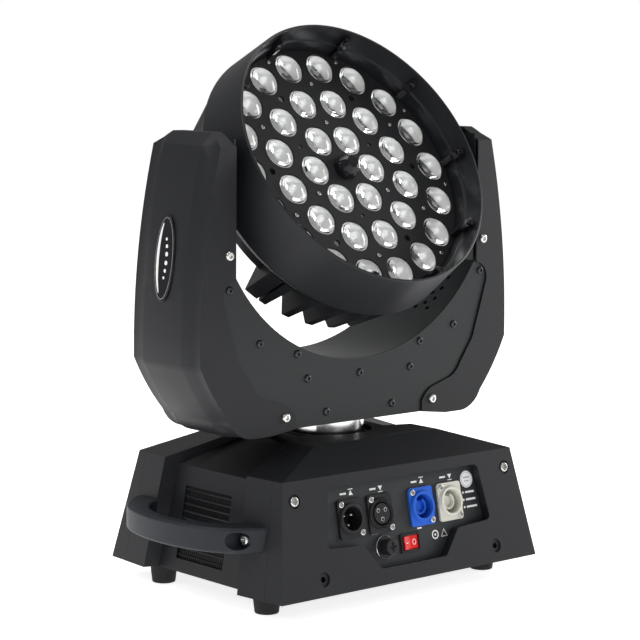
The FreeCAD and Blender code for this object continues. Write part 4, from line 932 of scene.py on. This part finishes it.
class WASHLIGHT_OT_stage(bpy.types.Operator):
    """Pale floor, soft studio light and the camera."""

    bl_idname = "washlight.stage"
    bl_label = "Stage"

    def execute(self, context):
        stage = context.scene.wash_light_stage
        floor = bpy.data.meshes.new("floor")
        reach = 6.0
        floor.from_pydata([(-reach, -reach, 0), (reach, -reach, 0), (reach, reach, 0),
                           (-reach, reach, 0)], [], [(0, 1, 2, 3)])
        ground = bpy.data.objects.new("floor", floor)
        context.scene.collection.objects.link(ground)
        pale = Paint("Studio floor", (0.90, 0.90, 0.90), 0.7, specular_ior_level=0.1,
                     emission_strength=0.80)
        pale.feed("Emission Color", (1.0, 1.0, 1.0, 1.0))
        floor.materials.append(pale.material)

        world = bpy.data.worlds.new("Studio")
        world.use_nodes = True
        tree = world.node_tree
        sky = tree.nodes["Background"]
        path = tree.nodes.new("ShaderNodeLightPath")
        level = tree.nodes.new("ShaderNodeMapRange")
        level.inputs["To Min"].default_value = stage.surround
        level.inputs["To Max"].default_value = 1.0
        tree.links.new(path.outputs["Is Camera Ray"], level.inputs["Value"])
        tree.links.new(level.outputs[0], sky.inputs["Strength"])
        sky.inputs["Color"].default_value = (1.0, 1.0, 1.0, 1.0)
        context.scene.world = world
        context.scene.view_settings.view_transform = "Standard"

        # lamp, place, point it faces, width and height in metres, watts
        for name, place, aim, size, power in (
                ("left_box", (-1.8, 0.3, 1.9), (0, 0, 0.25), (0.9, 1.4), 19.0),
                ("front_box", (-0.3, -2.6, 1.4), (0, 0, 0.2), (1.0, 1.2), 9.0),
                ("right_box", (2.2, -0.7, 0.75), (0, 0, 0.3), (0.7, 1.1), 22.0),
                ("top_box", (0.1, 0.4, 2.4), (0, 0, 0.2), (1.4, 1.4), 26.0)):
            lamp = bpy.data.lights.new(name, "AREA")
            lamp.shape = "RECTANGLE"
            lamp.size, lamp.size_y = size
            lamp.energy = power
            thing = bpy.data.objects.new(name, lamp)
            thing.location = place
            away = Vector(aim) - Vector(place)
            thing.rotation_euler = away.to_track_quat("-Z", "Y").to_euler()
            context.scene.collection.objects.link(thing)

        forward = Vector((-math.sin(stage.azimuth) * math.cos(stage.elevation),
                          math.cos(stage.azimuth) * math.cos(stage.elevation),
                          -math.sin(stage.elevation)))
        right = Vector((math.cos(stage.azimuth), math.sin(stage.azimuth), 0.0))
        up = right.cross(forward)
        turned_right = right * math.cos(stage.roll) + up * math.sin(stage.roll)
        turned_up = up * math.cos(stage.roll) - right * math.sin(stage.roll)
        camera = bpy.data.cameras.new("camera")
        camera.lens = stage.lens
        camera.sensor_width = 36.0
        camera.clip_end = 50.0
        eye = bpy.data.objects.new("camera", camera)
        turn = Matrix((turned_right, turned_up, -forward)).transposed()
        eye.matrix_world = Matrix.Translation(Vector(stage.place)) @ turn.to_4x4()
        context.scene.collection.objects.link(eye)
        context.scene.camera = eye
        return {"FINISHED"}


class WASHLIGHT_PT_panel(bpy.types.Panel):
    """Lists the pieces and their settings."""

    bl_idname = "WASHLIGHT_PT_panel"
    bl_label = "Wash Light"
    bl_space_type = "VIEW_3D"
    bl_region_type = "UI"
    bl_category = "Wash Light"

    def draw(self, context):
        for settings in (context.scene.wash_light_looks, context.scene.wash_light_stage):
            for name in settings.__annotations__:
                self.layout.prop(settings, name)
        for operator in PIECES:
            self.layout.operator(operator.bl_idname)


PIECES = (WASHLIGHT_OT_finishes, WASHLIGHT_OT_lenses, WASHLIGHT_OT_casings,
          WASHLIGHT_OT_screws, WASHLIGHT_OT_grilles, WASHLIGHT_OT_badges, WASHLIGHT_OT_fittings,
          WASHLIGHT_OT_prints, WASHLIGHT_OT_display, WASHLIGHT_OT_stage)
CLASSES = (WASHLIGHT_PG_looks, WASHLIGHT_PG_stage, *PIECES, WASHLIGHT_PT_panel)


def register():
    for cls in CLASSES:
        bpy.utils.register_class(cls)
    bpy.types.Scene.wash_light_looks = PointerProperty(type=WASHLIGHT_PG_looks)
    bpy.types.Scene.wash_light_stage = PointerProperty(type=WASHLIGHT_PG_stage)


def unregister():
    del bpy.types.Scene.wash_light_looks
    del bpy.types.Scene.wash_light_stage
    for cls in reversed(CLASSES):
        bpy.utils.unregister_class(cls)


def main():
    register()
    for operator in PIECES:
        group, name = operator.bl_idname.split(".")
        getattr(getattr(bpy.ops, group), name)()


if __name__ == "__main__":
    main()
